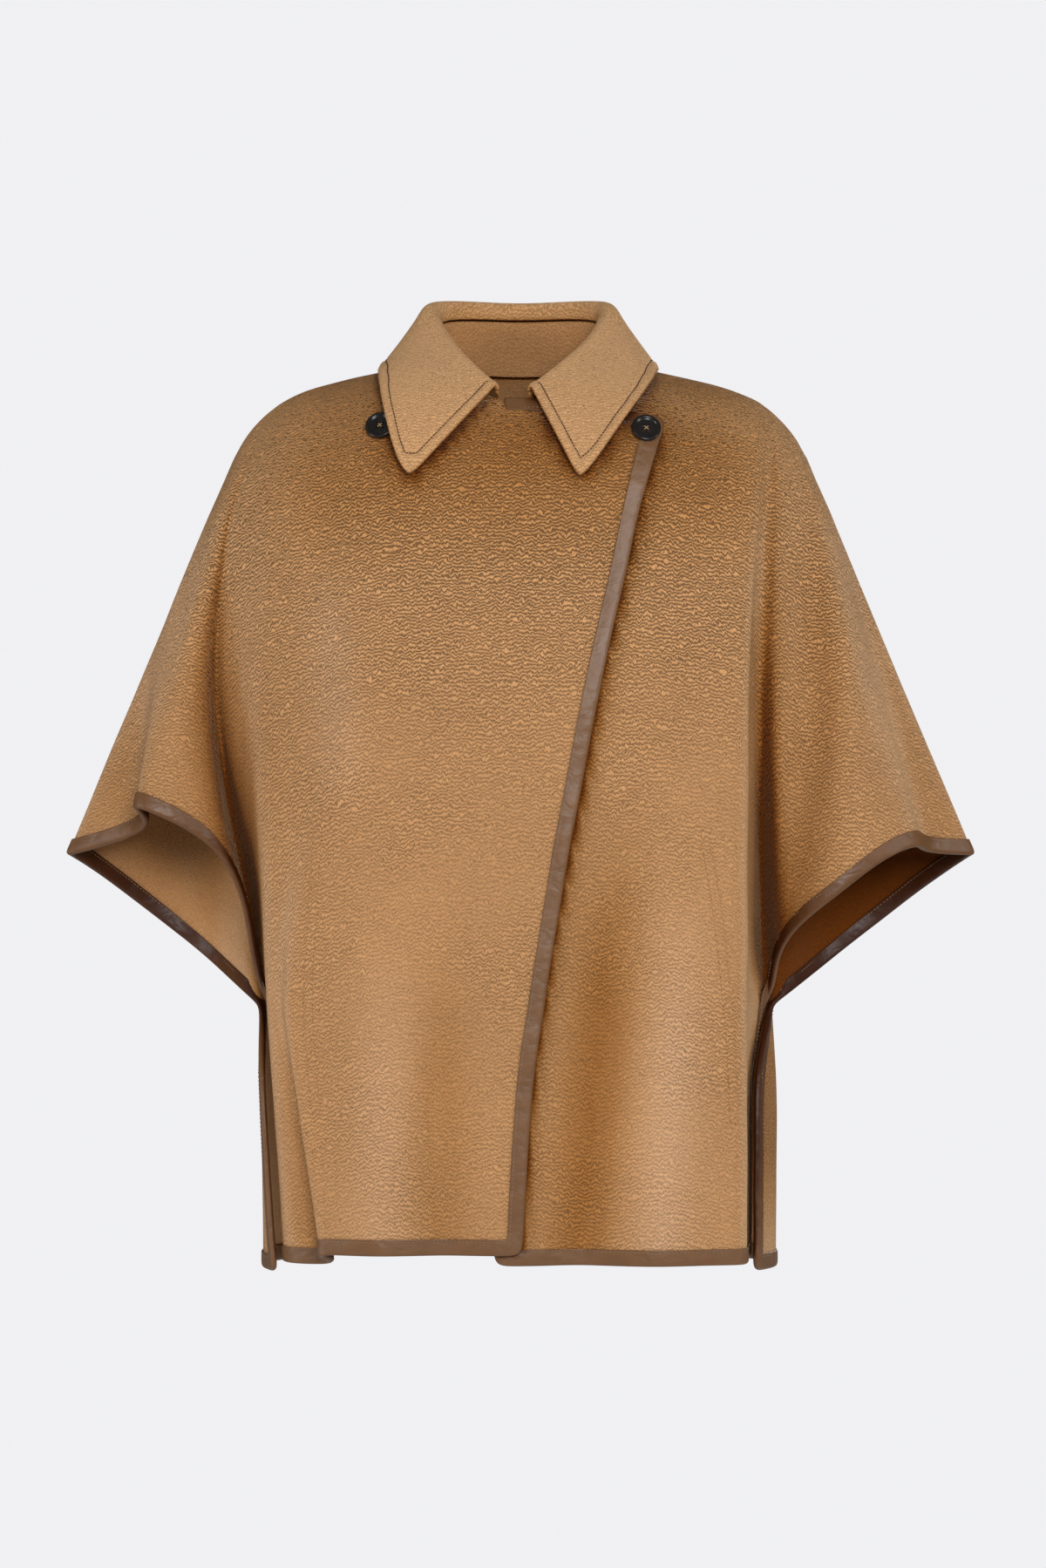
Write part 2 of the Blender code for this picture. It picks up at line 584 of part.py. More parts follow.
def binding_routes(grid, bound):
    """Routes of a panel's bindings: each place on an edge, and the place one cell in.

    A cuff has its own binding. bound counts the top edge's places.
    """
    hem, end = len(grid) - 1, grid.shape[1]
    hemmed = np.flatnonzero(~np.isnan(grid[-1, :, 0]))
    first, last = int(hemmed[0]), int(hemmed[-1])
    routes = {"left_cuff": [((CUFF_ROW, c), (CUFF_ROW - 1, c)) for c in range(last + 1, end)]}
    if bound:
        edge = [((0, c), (1, c)) for c in range(bound - 1, 0, -1)] + [((0, 0), (1, 1))]
        edge += [((r, 0), (r, 1)) for r in range(1, hem)]
    else:
        routes["right_cuff"] = [((CUFF_ROW, c), (CUFF_ROW - 1, c)) for c in range(first)]
        edge = [((r, first), (r, first + 1)) for r in range(CUFF_ROW + 1, hem)]
    edge += [((hem, first), (hem - 1, first + 1))]
    edge += [((hem, c), (hem - 1, c)) for c in range(first + 1, last)]
    edge += [((hem, last), (hem - 1, last - 1))]
    edge += [((r, last), (r, last - 1)) for r in range(hem - 1, CUFF_ROW, -1)]
    routes["edge"] = edge
    return routes


def split_across(route):
    """Cells whose corner mitre runs against the usual split."""
    found = set()
    for (r, c), (inner_r, inner_c) in route:
        if (inner_r - r) * (inner_c - c) < 0:
            found.add((min(r, inner_r), min(c, inner_c)))
    return found


def step_beyond(grid, route, i):
    """Unit step in from the cloth's edge at a place of the route: square to it, or along a corner's mitre."""
    edge, inner = route[i]
    along = (grid[inner] - grid[edge]) / BINDING
    if inner[0] != edge[0] and inner[1] != edge[1]:
        return along
    run = grid[route[min(i + 1, len(route) - 1)][0]] - grid[route[max(i - 1, 0)][0]]
    run /= np.linalg.norm(run)
    square = along - run * np.dot(along, run)
    return square / np.linalg.norm(square)


def binding(name, grid, normals, route, turned, finish, collection):
    """Leather folded over the edges along the route, as rings that follow the thickened cloth."""
    points, faces = [], []
    size = len(BIND_SECTION)
    for i, (edge, inner) in enumerate(route):
        along = grid[inner] - grid[edge]
        beyond = step_beyond(grid, route, i)
        for distance, height in BIND_SECTION:
            place = grid[edge] + (along * (distance / BINDING) if distance > 0 else beyond * distance)
            points.append(place + (normals[inner] if distance > 0 else normals[edge]) * height)
    for i in range(len(route) - 1):
        step = np.subtract(route[i + 1][1], route[i][0])
        forward = step[0] * step[1] > 0
        for a in range(size):
            b = (a + 1) % size
            p, q, s, t = i * size + a, i * size + b, (i + 1) * size + b, (i + 1) * size + a
            if BIND_SECTION[a][0] == BIND_SECTION[b][0]:
                plain = not turned
            else:
                plain = forward == (BIND_SECTION[a][0] < BIND_SECTION[b][0])
            faces += [(p, q, s), (p, s, t)] if plain else [(p, q, t), (q, s, t)]
    faces += [tuple(range(size)), tuple(range(len(points) - size, len(points)))]
    obj = new_object(name, points, faces, finish, collection)
    turn_outward(obj)


def panels(wool, leather, collection):
    """The fronts and the back with their bindings, as each panel's grid."""
    made = {}
    for name, grid, bound, outward in (
        ("left_front", front_grid(1), UNDER_BOUND, (0, -1, 0)),
        ("right_front", front_grid(-1), UPPER_BOUND, (0, -1, 0)),
        ("back", back_grid(), 0, (0, 1, 0)),
    ):
        routes = binding_routes(grid, bound)
        across = split_across(routes["edge"]) | {(0, grid.shape[1] - 2)}
        normals, turned = sheet(name, grid, outward, CLOTH, wool, collection, across)
        for place, route in routes.items():
            piece = "cuff" if bound and place != "edge" else place
            binding(f"{name}_{piece}_binding", grid, normals, route, turned, leather, collection)
        made[name] = grid
    return made


def surface(grid):
    """The middle of a panel's cloth, for finding points on it."""
    index, triangles = grid_triangles(grid)
    return BVHTree.FromPolygons([tuple(grid[key]) for key in index], triangles)


def point_on(panel, x, z):
    """Point of a front panel at x and z, and its outward normal."""
    location, normal, _, _ = panel.ray_cast((x, -400, z), (0, 1, 0))
    normal = np.array(normal)
    return np.array(location), normal * (1 if normal[1] < 0 else -1)


def fall_section(station):
    """Section of the collar's fall: up inside, over the roll, and down to the free edge."""
    roll, edge = np.array(station.roll, float), np.array(station.edge, float)
    out = (edge - roll) * (1, 1, 0)
    out /= np.linalg.norm(out)
    up = np.array((0, 0, 1.0))
    radius = station.radius
    inside = roll - 2 * radius * out
    points = [inside - up * (radius + station.turn), inside - up * radius]
    for angle in ROLL_ANGLES:
        points.append(roll + radius * ((math.cos(angle) - 1) * out + (math.sin(angle) - 1) * up))
    start = roll - radius * up
    bulge = np.array((0, math.copysign(station.bulge, edge[1]), 0))
    for share in FALL_SHARES:
        points.append(lerp(start, edge, share) + bulge * math.sin(math.pi * share**0.7))
    return np.array(points)


def collar_fall_grid():
    """Grid of the fall: a row for each section from its right front to its left front."""
    sections = np.array([fall_section(station) for station in COLLAR])
    cells = [station.cells for station in COLLAR]
    return np.stack([through(sections[:, i], cells) for i in range(sections.shape[1])], axis=1)


def neckline(grids):
    """Points of the neckline from the right front round the back to the left front."""
    right = grids["right_front"][0, UPPER_BOUND - 1 : UPPER_TOPS.index(82) + 1]
    left = grids["left_front"][0, UNDER_BOUND : UNDER_TOPS.index(82) + 1]
    back = grids["back"][0]
    back = back[np.abs(back[:, 0]) < NECK_WIDTH - 1]
    return np.vstack([right, back, left[::-1]])


def stand_grid(fall, grids):
    """Grid of the stand: an upright wall from inside the neckline to the fall's inner edge."""
    neck = neckline(grids)
    turns = np.unwrap(np.arctan2(neck[:, 1], neck[:, 0]))
    order = np.argsort(turns)
    rows = []
    tops = fall[:, 0]
    angles = np.unwrap(np.arctan2(tops[:, 1], tops[:, 0]))
    for top, angle in zip(tops, angles):
        x, y, z = (np.interp(angle, turns[order], neck[order, axis]) for axis in range(3))
        inward = -np.array((x, y, 0)) / math.hypot(x, y)
        inset = STAND_INSET + smooth(0.5 - x / STAND_SIDE) * (front_lift(x, z) + STAND_BACKSET)
        foot = np.array((x, y, z - STAND_OVERLAP)) + inward * inset
        head = top - (0, 0, STAND_GAP)
        knee = lerp(head, foot, STAND_KNEE) * (0, 0, 1) + head * (1, 1, 0)
        rows.append([foot, lerp(foot, knee, 0.5), knee, head])
    return np.array(rows)


def button(spec, panel, horn, collection):
    """Horn button with a raised rim and four holes, lying on the right front."""
    radius, rim, top, round_off = BUTTON_RADIUS, BUTTON_RADIUS - BUTTON_RIM, BUTTON_THICK, BUTTON_ROUND
    profile = (
        (radius - round_off, 0.0),
        (radius, round_off),
        (radius, top - round_off),
        (radius - round_off, top),
        (rim + round_off, top),
        (rim, top - round_off / 2),
        (rim - round_off / 2, top - BUTTON_DISH),
    )
    shape = bmesh.new()
    rings = []
    for reach, height in profile:
        ring = []
        for i in range(BUTTON_SIDES):
            angle = 2 * math.pi * i / BUTTON_SIDES
            ring.append(shape.verts.new((reach * math.cos(angle), reach * math.sin(angle), height)))
        rings.append(ring)
    for lower, upper in zip(rings, rings[1:]):
        for i in range(BUTTON_SIDES):
            j = (i + 1) % BUTTON_SIDES
            shape.faces.new((lower[i], lower[j], upper[j], upper[i]))
    shape.faces.new(rings[0][::-1])
    shape.faces.new(rings[-1])
    bmesh.ops.scale(shape, vec=(METRE,) * 3, verts=shape.verts)
    location, normal = point_on(panel, spec.x, spec.z)
    frame = Vector(normal).to_track_quat("Z", "Y").to_matrix().to_4x4()
    place = Matrix.Translation(Vector((location + normal * spec.seat) * METRE)) @ frame
    mesh = bpy.data.meshes.new(spec.name)
    bmesh.ops.recalc_face_normals(shape, faces=shape.faces)
    shape.to_mesh(mesh)
    shape.free()
    mesh.materials.append(horn)
    obj = bpy.data.objects.new(spec.name, mesh)
    obj.matrix_world = place
    collection.objects.link(obj)
    holes = bmesh.new()
    for x in (-HOLE_PITCH, HOLE_PITCH):
        for y in (-HOLE_PITCH, HOLE_PITCH):
            at = Matrix.Translation((x * METRE, y * METRE, BUTTON_THICK / 2 * METRE))
            bmesh.ops.create_cone(
                holes, cap_ends=True, segments=8, radius1=BUTTON_HOLE * METRE, radius2=BUTTON_HOLE * METRE,
                depth=3 * BUTTON_THICK * METRE, matrix=at,
            )
    cutter_mesh = bpy.data.meshes.new(spec.name + "_holes")
    holes.to_mesh(cutter_mesh)
    holes.free()
    cutter = bpy.data.objects.new(spec.name + "_holes", cutter_mesh)
    cutter.matrix_world = place
    cutter.hide_render = True
    cutter.display_type = "WIRE"
    collection.objects.link(cutter)
    cut = obj.modifiers.new("Thread holes", "BOOLEAN")
    cut.operation = "DIFFERENCE"
    cut.object = cutter


def welt(pocket, panel, wool, collection):
    """Folded strip of cloth that lies along a pocket opening."""
    heights, xs = zip(*pocket.route)
    grid = []
    for i in range(WELT_CELLS + 1):
        z = lerp(heights[0], heights[-1], i / WELT_CELLS)
        middle = pchip(z, heights, xs)
        row = []
        for across in (-0.5, 0.0, 0.5):
            location, normal = point_on(panel, middle + across * WELT_WIDTH * pocket.side, z)
            row.append(location + normal * WELT_SEAT)
        grid.append(row)
    sheet(pocket.name, np.array(grid), (0, -1, 0), WELT_THICK, wool, collection)


def main():
    clear_scene()
    collection = bpy.data.collections.new("Wool cape")
    bpy.context.scene.collection.children.link(collection)
    wool = material("Camel wool", (0.41, 0.24, 0.115), 0.95)
    collar_wool = material("Brushed collar wool", (0.5, 0.31, 0.16), 0.95)
    leather = material("Taupe leather", (0.13, 0.083, 0.054), 0.45)
    horn = material("Dark horn", (0.015, 0.011, 0.009), 0.25)
    grids = panels(wool, leather, collection)
    fall = collar_fall_grid()
    sheet("collar_fall", fall, (0, 0, 0), COLLAR_CLOTH, collar_wool, collection)
    sheet("collar_stand", stand_grid(fall, grids), (0, 0, 0), CLOTH, collar_wool, collection)
    fronts = {-1: surface(grids["right_front"]), 1: surface(grids["left_front"])}
    for spec in BUTTONS:
        button(spec, fronts[-1], horn, collection)
    for pocket in POCKETS:
        welt(pocket, fronts[pocket.side], wool, collection)


main()
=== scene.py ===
"""Wool cape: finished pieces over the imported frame, laid out as a Blender add-on that runs as a script.

The panels, the collar and the leather binding are worked out from the same sizes as the solids, in
millimetres, and turned into metres when a mesh is made. +X is the wearer's left, -Y the front and +Z up.
"""

import functools
import itertools
import json
import math
import random
from collections import namedtuple

import bpy
import numpy as np
from mathutils import Matrix, Vector, noise
from mathutils.bvhtree import BVHTree
from mathutils.kdtree import KDTree

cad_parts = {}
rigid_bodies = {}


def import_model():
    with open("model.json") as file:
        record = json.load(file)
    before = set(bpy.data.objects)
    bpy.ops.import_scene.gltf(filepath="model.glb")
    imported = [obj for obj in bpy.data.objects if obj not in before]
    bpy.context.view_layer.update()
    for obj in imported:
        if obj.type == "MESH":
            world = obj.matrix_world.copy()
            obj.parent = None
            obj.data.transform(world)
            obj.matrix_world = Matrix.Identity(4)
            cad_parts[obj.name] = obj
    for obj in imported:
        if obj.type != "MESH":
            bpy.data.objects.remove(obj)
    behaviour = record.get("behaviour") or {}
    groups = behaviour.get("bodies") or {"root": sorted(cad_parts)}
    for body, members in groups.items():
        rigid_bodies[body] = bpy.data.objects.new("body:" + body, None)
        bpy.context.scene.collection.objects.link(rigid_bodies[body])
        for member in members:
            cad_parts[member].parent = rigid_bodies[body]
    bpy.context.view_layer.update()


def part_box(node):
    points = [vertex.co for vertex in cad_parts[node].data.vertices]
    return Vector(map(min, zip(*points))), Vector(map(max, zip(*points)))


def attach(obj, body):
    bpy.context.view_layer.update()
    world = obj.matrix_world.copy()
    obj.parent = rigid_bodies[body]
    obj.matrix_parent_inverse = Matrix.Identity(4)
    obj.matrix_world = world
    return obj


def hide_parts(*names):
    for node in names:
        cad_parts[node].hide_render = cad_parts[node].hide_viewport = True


bl_info = {
    "name": "Wool cape",
    "version": (1, 0, 0),
    "blender": (4, 5, 0),
    "location": "3D View > Sidebar > Cape",
    "description": "Makes the finished pieces of a wool cape over its frame",
    "category": "Object",
}

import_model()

METRE = 0.001
CLOTH = 2.4  # wool of the fronts and the back
COLLAR_CLOTH = 3.4  # two layers
BINDING = 11.5  # width of the leather binding on each face, and of the grid cells under it
SEAM = 0.2  # from a panel to the shoulder and over-arm seam, which lies in the plane y = 0
SEAM_STRIP = 3.0

NECK_WIDTH, NECK_FRONT, NECK_BACK, NECK_POINT_Z = 82.0, 70.0, 62.0, -4.5
BACK_NECK_RISE = 14.0
SHOULDER_SLOPE, SHOULDER_ROUND = 0.22, 100.0
CUFF_X, CUFF_Z, OVERARM_SLOPE = 362.5, -396.0, 2.366  # the over-arm fold's foot, and its slope
CHEST_Z, ELBOW_Z, JOINT_Z, HIP_Z = -130.0, -260.0, -515.0, -570.0
BACK_FULLNESS, FULL_BACK_WIDTH = 0.62, 150.0
TOP_EDGE_Z, TOP_EDGE_SLOPE = -40.5, 0.15  # the fronts' bound top edge, from the centre outwards
OVERLAP, OVERLAP_END = 6.0, 120.0  # from the under front to the upper front, and where that fades out
OVERLAP_TOP, OVERLAP_FADE_DOWN, OVERLAP_FADE_ACROSS = 5.0, 35.0, 60.0
STRAIGHT_DEPTH = 60.0  # a fall line nearer than this to the over-arm fold's plane drops along it
NECK_TURN, NECK_SHARE, LEAST_TURN = 0.5, 0.16, 0.05  # how a line that starts at the neckline takes its rows
LEAST_STEP = 1e-6
LAST_STEP = 2.0  # from the shoulder seam's last point but one to its last
WIDEST_CELL = 0.9  # an edge cell's width as a share of the space there

# A fall line: its distance from the centre at the top, then (distance, depth) at each level, with the height
# too at the cuff or joint and at the hem. A sleeve line has no hip or hem. cells counts the grid's cells from
# the line before it.
Fall = namedtuple("Fall", "name top chest elbow cuff hip hem cells")
LEFT_FRONT_FALLS = (
    Fall("fold edge", 187, (181, 80), (177, 96), (176.5, 101, -515), (176.5, 101), (176.5, 99, -714.5), 1),
    Fall("return", 192.5, (187, 73), (179, 78), (176.5, 46, -515), (175.5, 68), (175.5, 66, -714.5), 2),
    Fall("underarm", 198, (191, 65), (186, 58), (194.5, 2.5, -517), (183, 28), (182, 30, -714.5), 1),
    Fall("fold floor", 200.5, (197, 62), (192, 57), (201, 3.5, -509), None, None, 1),
    Fall("inner ridge", 204.5, (204, 62), (206, 66), (205, 38, -472), None, None, 2),
    Fall("inner valley", 208.5, (226, 46), (228, 44), (218, 50, -453), None, None, 1),
    Fall("sleeve face", 213.5, (239, 41), (261, 60), (255, 61, -423), None, None, 2),
    Fall("outer face", 217.5, (246, 27), (275, 44), (290, 53, -395), None, None, 1),
    Fall("ridge", 220.5, (250, 14), (283, 27), (320, 37, -386), None, None, 1),
    Fall("step", 222.5, (250.5, 9), (287, 17), (317, 22, -393), None, None, 1),
)
RIGHT_FRONT_FALLS = (
    Fall("pleat crest", 150, (150, 84), (150, 98), (186, 86, -515), (181, 93), (161, 103, -707), 1),
    Fall("pleat valley", 166, (172, 77), (174, 90), (184, 77, -515), (168, 81), (141, 87, -715), 1),
    Fall("side", 186, (202, 62), (208, 76), (203, 60, -515), (199, 62), (183, 74, -716), 2),
    Fall("return", 193, (214, 54), (220, 60), (194, 34, -515), (193, 45), (187, 55, -716), 1),
    Fall("underarm", 200, (227, 46), (238, 42), (201.5, 2.5, -517), (191, 26), (183, 34, -716), 1),
    Fall("fold floor", 203, (230, 41), (243, 38), (208.5, 3.5, -508), None, None, 1),
    Fall("inner face", 207, (236, 42), (252, 53), (216, 36, -440), None, None, 2),
    Fall("middle face", 211, (241, 36), (262, 58), (232, 54, -396), None, None, 1),
    Fall("sleeve face", 215.5, (245, 28), (273, 58), (288, 74, -362), None, None, 2),
    Fall("ridge", 219.5, (249, 14), (290, 38), (314, 73, -353), None, None, 1),
    Fall("under ridge", 222.5, (250.5, 9), (293, 22), (284, 39, -372), None, None, 1),
)
BACK_SIDE_FALLS = (
    Fall("flank", 184, (184, 82), (182, 94), (192, 62, -517), (204, 48), (203, 52, -727), 1),
    Fall("side", 191, (196, 73), (194, 82), (203, 32, -518), (208, 6), (208, 8, -727), 1),
)
BACK_LEFT_FALLS = (
    Fall("underarm", 198, (206, 64), (207, 62), (200.5, 1.5, -518), (187, -52), (186, -57, -724), 2),
    Fall("fold floor", 202, (211, 61), (213, 61), (208, 4, -513), None, None, 1),
)
BACK_RIGHT_FALLS = (
    Fall("underarm", 198, (206, 64), (207, 62), (207.5, 1.5, -518), (205, -48), (194, -60, -724), 2),
    Fall("fold floor", 202, (211, 61), (213, 61), (215, 4, -513), None, None, 1),
)
BACK_SLEEVE_FALLS = (
    Fall("inner face", 207, (222, 56), (238, 67), (252, 56, -483), None, None, 2),
    Fall("sleeve face", 213, (237, 44), (268, 62), (300, 56, -445), None, None, 2),
    Fall("outer face", 220, (247, 21), (295, 36), (341, 30, -412), None, None, 2),
)
LEFT_HEM_Z, RIGHT_HEM_Z = -714.5, -706.0

NORMAL_ROUNDS, NORMAL_PUSH, NORMAL_EASE, LEAST_LEAN = 40, 0.15, 8, 0.7
ON_SEAM = SEAM + 0.01  # points nearer than this to the seam's plane stay in it

# Depth of a hanging face in the middle, and the place where it turns to the side, from the chest down.
Level = namedtuple("Level", "z centre left_x left_y right_x right_y")
FRONT_FACE = (
    Level(CHEST_Z, 98, 181, 80, 202, 62),
    Level(ELBOW_Z, 111, 177, 96, 208, 76),
    Level(JOINT_Z, 112, 176.5, 101, 190, 84),
    Level(-717.0, 109, 176.5, 99, 162, 102),
)
BACK_FACE = (
    Level(CHEST_Z, 98, 184, 82, 184, 82),
    Level(ELBOW_Z, 114, 182, 94, 182, 94),
    Level(JOINT_Z, 119, 192, 62, 192, 62),
    Level(-728.0, 114, 203, 52, 203, 52),
)
FACE_ROUNDNESS = 3.0

# The upper front's closing edge, from its corner at the left shoulder to the hem, as (height, x).
CLOSING_EDGE = ((-57, 113.3), (-84, 107.7), (-138, 88), (-242, 65.2), (-476, 22.7), (-641, 2.2), (-715, 0))
UNDER_SHARE, UNDER_SHIFT = 0.75, 19.0  # the under front's edge leans less, and its foot lies past the centre

# Soft troughs and ridges of the hanging fronts, each between two points of the face.
SoftFold = namedtuple("SoftFold", "x_top z_top x_foot z_foot width depth")
SOFT_FOLDS = (
    SoftFold(80, -330, 42, -735, 24, -10),
    SoftFold(128, -380, 108, -735, 26, 7),
    SoftFold(-106, -430, -110, -735, 24, 5),
    SoftFold(-60, -430, -58, -735, 20, -4.5),
    SoftFold(-155, -150, -140, -330, 20, 4.5),
)

FOLD_START, FOLD_END, FOLD_STOP = 2.0, 1.2, 4.0  # how fast a fold sets in, where it ends, and how fast

# Where each front's face lines start at the top, from the closing edge outwards. The first BOUND of them
# start on the bound top edge, and the rest on the neckline and the shoulder seam.
UPPER_TOPS, UPPER_BOUND = (-113.3, -98, -68, -38, -12, 14, 24, 46, 67, 79, 82, 100, 118, 135), 6
UNDER_TOPS, UNDER_BOUND = (-104, -91, -64, -34, -6, 8, 26, 47, 67, 79, 82, 101, 121, 142, 165), 5
BACK_TOPS = (0, 28, 54, 75, 82, 107, 133, 159)

# The collar from its right front to its left front: roll line and free edge of the fall.
Station = namedtuple("Station", "name roll edge radius turn bulge cells")
COLLAR = (
    Station("right front", (-21, -73, -27), (-87, -107, -103), 2, 2, 7, 0),
    Station("right point", (-30, -66, -20), (-97, -104, -85), 3.5, 3.5, 6, 2),
    Station("right chest", (-47, -50, -4), (-106, -91, -52), 5, 6, 4, 2),
    Station("right shoulder", (-64, -21, 17), (-112, -60, -21), 6.5, 8, 1, 2),
    Station("right side", (-80, 9, 43), (-112, -10, -7), 8, 8, 0, 2),
    Station("right back", (-73, 42, 51.5), (-102, 48, -14), 8, 8, 1, 3),
    Station("centre back", (0, 74, 52), (0, 88, -29), 7, 8, 3, 3),
    Station("left back", (73, 42, 51.5), (101, 48, -14), 8, 8, 1, 3),
    Station("left side", (78, 9, 43), (110, -10, -7), 8, 8, 0, 3),
    Station("left shoulder", (62, -23, 17), (103, -62, -23), 6.5, 8, 1, 2),
    Station("left chest", (40, -52, -4), (81, -95, -55), 5, 6, 4, 2),
    Station("left point", (20, -68, -21), (61, -107, -85), 3.5, 3.5, 6, 2),
    Station("left front", (9, -75, -28), (46, -111, -105), 2, 2, 7, 2),
)
ROLL_ANGLES = (2.4, 1.57, 0.8)
STAND_OVERLAP, STAND_INSET, STAND_BACKSET = 3.0, 3.4, 1.8
STAND_GAP = -0.3
STAND_SIDE, STAND_KNEE = 16.0, 0.2  # where the stand steps back for the overlap, and its upright share
FALL_SHARES, BULGE_POWER = (0.06, 0.2, 0.4, 0.6, 0.8, 0.92, 1.0), 0.7

Pocket = namedtuple("Pocket", "name side route")
POCKETS = (
    Pocket("pocket_welt_left", 1, ((-384, 144), (-430, 152), (-500, 160), (-560, 165), (-606, 167))),
    Pocket("pocket_welt_right", -1, ((-372, -158), (-443, -163), (-511, -166), (-560, -163), (-600, -159))),
)

CUFF_STAGE = 3
ROWS = (
    [(0, share) for share in (0.0, 0.035, 0.26, 0.45, 0.64, 0.82)]
    + [(1, share) for share in (0.0, 0.34, 0.67)]
    + [(2, share) for share in (0.0, 0.2, 0.42, 0.64, 0.84)]
    + [(CUFF_STAGE, share) for share in (0.0, 0.42)]
    + [(4, share) for share in (0.0, 0.27, 0.54, 0.8, 1.0)]
)
CUFF_ROW = ROWS.index((CUFF_STAGE, 0.0)) + 1  # with the row that is put in before the cuff


def smooth(t):
    t = min(max(t, 0.0), 1.0)
    return t * t * (3 - 2 * t)


def lerp(a, b, t):
    return a + (b - a) * t


def pchip(at, knots, values, first_slope=None):
    """Smooth curve through the values that never swings past them, for knots that fall from first to last."""
    steps = np.diff(knots)
    rises = np.diff(values) / steps
    slopes = np.empty(len(values))
    slopes[0] = rises[0] if first_slope is None else first_slope
    slopes[-1] = rises[-1]
    for i in range(1, len(values) - 1):
        if rises[i - 1] * rises[i] <= 0:
            slopes[i] = 0
            continue
        before = 2 * steps[i] + steps[i - 1]
        after = steps[i] + 2 * steps[i - 1]
        slopes[i] = (before + after) / (before / rises[i - 1] + after / rises[i])
    i = int(np.clip(np.searchsorted(-np.asarray(knots, float), -at) - 1, 0, len(steps) - 1))
    t = (at - knots[i]) / steps[i]
    return (
        (1 + 2 * t) * (1 - t) ** 2 * values[i]
        + t * (1 - t) ** 2 * steps[i] * slopes[i]
        + t * t * (3 - 2 * t) * values[i + 1]
        + t * t * (t - 1) * steps[i] * slopes[i + 1]
    )


def through(points, cells):
    """Centripetal Catmull-Rom curve through the points, with cells[i] steps to point i from the last."""
    points = np.asarray(points, float)
    ends = np.vstack([2 * points[0] - points[1], points, 2 * points[-1] - points[-2]])
    made = [points[0]]
    for i in range(1, len(points)):
        p0, p1, p2, p3 = ends[i - 1 : i + 3]
        steps = [max(np.linalg.norm(b - a), LEAST_STEP) ** 0.5 for a, b in ((p0, p1), (p1, p2), (p2, p3))]
        t0, t1, t2, t3 = np.cumsum([0.0, *steps])
        for step in range(1, cells[i] + 1):
            t = lerp(t1, t2, step / cells[i])
            a1 = lerp(p0, p1, (t - t0) / (t1 - t0))
            a2 = lerp(p1, p2, (t - t1) / (t2 - t1))
            a3 = lerp(p2, p3, (t - t2) / (t3 - t2))
            b1 = lerp(a1, a2, (t - t0) / (t2 - t0))
            b2 = lerp(a2, a3, (t - t1) / (t3 - t1))
            made.append(lerp(b1, b2, (t - t1) / (t2 - t1)))
    return np.array(made)


# The general figure's form: shoulder line and hanging faces.


def shoulder_arc():
    """Start, end and centre of the arc between the shoulder seam and the over-arm fold."""
    lean, steep = math.atan(SHOULDER_SLOPE), math.atan(OVERARM_SLOPE)
    foot = CUFF_Z + OVERARM_SLOPE * CUFF_X
    vertex_x = (foot - NECK_POINT_Z - SHOULDER_SLOPE * NECK_WIDTH) / (OVERARM_SLOPE - SHOULDER_SLOPE)
    vertex_z = foot - OVERARM_SLOPE * vertex_x
    reach = SHOULDER_ROUND * math.tan((steep - lean) / 2)
    start = (vertex_x - reach * math.cos(lean), vertex_z + reach * math.sin(lean))
    end = (vertex_x + reach * math.cos(steep), vertex_z - reach * math.sin(steep))
    centre = (start[0] - SHOULDER_ROUND * math.sin(lean), start[1] - SHOULDER_ROUND * math.cos(lean))
    return start, end, centre


ARC_START, ARC_END, ARC_CENTRE = shoulder_arc()


def shoulder_z(x):
    """Height of the shoulder seam and the over-arm fold at x."""
    x = abs(x)
    if x <= ARC_START[0]:
        return NECK_POINT_Z - SHOULDER_SLOPE * max(x - NECK_WIDTH, 0.0)
    if x <= ARC_END[0]:
        return ARC_CENTRE[1] + math.sqrt(SHOULDER_ROUND**2 - (x - ARC_CENTRE[0]) ** 2)
    return ARC_END[1] - OVERARM_SLOPE * (x - ARC_END[0])


def soft_depth(x, z):
    """How far the soft folds push the face of the fronts out at x and z."""
    total = 0.0
    for fold in SOFT_FOLDS:
        down = (z - fold.z_top) / (fold.z_foot - fold.z_top)
        middle = lerp(fold.x_top, fold.x_foot, down)
        strength = smooth(FOLD_START * down) * smooth(FOLD_STOP * (FOLD_END - down))
        total += fold.depth * strength * math.exp(-(((x - middle) / fold.width) ** 2))
    return total


def face_depth(face, x, z):
    """Distance of a hanging face from the plane of the shoulders, at x and at z below the chest."""
    heights = [level.z for level in face]
    side_x, side_y = ("left_x", "left_y") if x > 0 else ("right_x", "right_y")
    centre = pchip(z, heights, [level.centre for level in face], 0)
    edge = pchip(z, heights, [getattr(level, side_y) for level in face], 0)
    reach = pchip(z, heights, [getattr(level, side_x) for level in face])
    depth = lerp(centre, edge, min(abs(x) / reach, 1.0) ** FACE_ROUNDNESS)
    return depth + (soft_depth(x, z) if face is FRONT_FACE else 0.0)


def crown(face, x):
    """Top of the form over x, and how square the yoke is there: the back of the neck is higher and fuller."""
    if face is FRONT_FACE:
        return shoulder_z(x), 1.0
    rise = BACK_NECK_RISE * max(1 - (x / NECK_WIDTH) ** 2, 0.0)
    return shoulder_z(x) + rise, lerp(BACK_FULLNESS, 1.0, smooth(abs(x) / FULL_BACK_WIDTH))


def yoke_point(face, x, turn):
    """Depth and height of the form over the shoulder: turn is 0 at the seam, a right angle at the chest."""
    top, fullness = crown(face, x)
    return face_depth(face, x, CHEST_Z) * math.sin(turn) ** fullness, lerp(top, CHEST_Z, 1 - math.cos(turn))


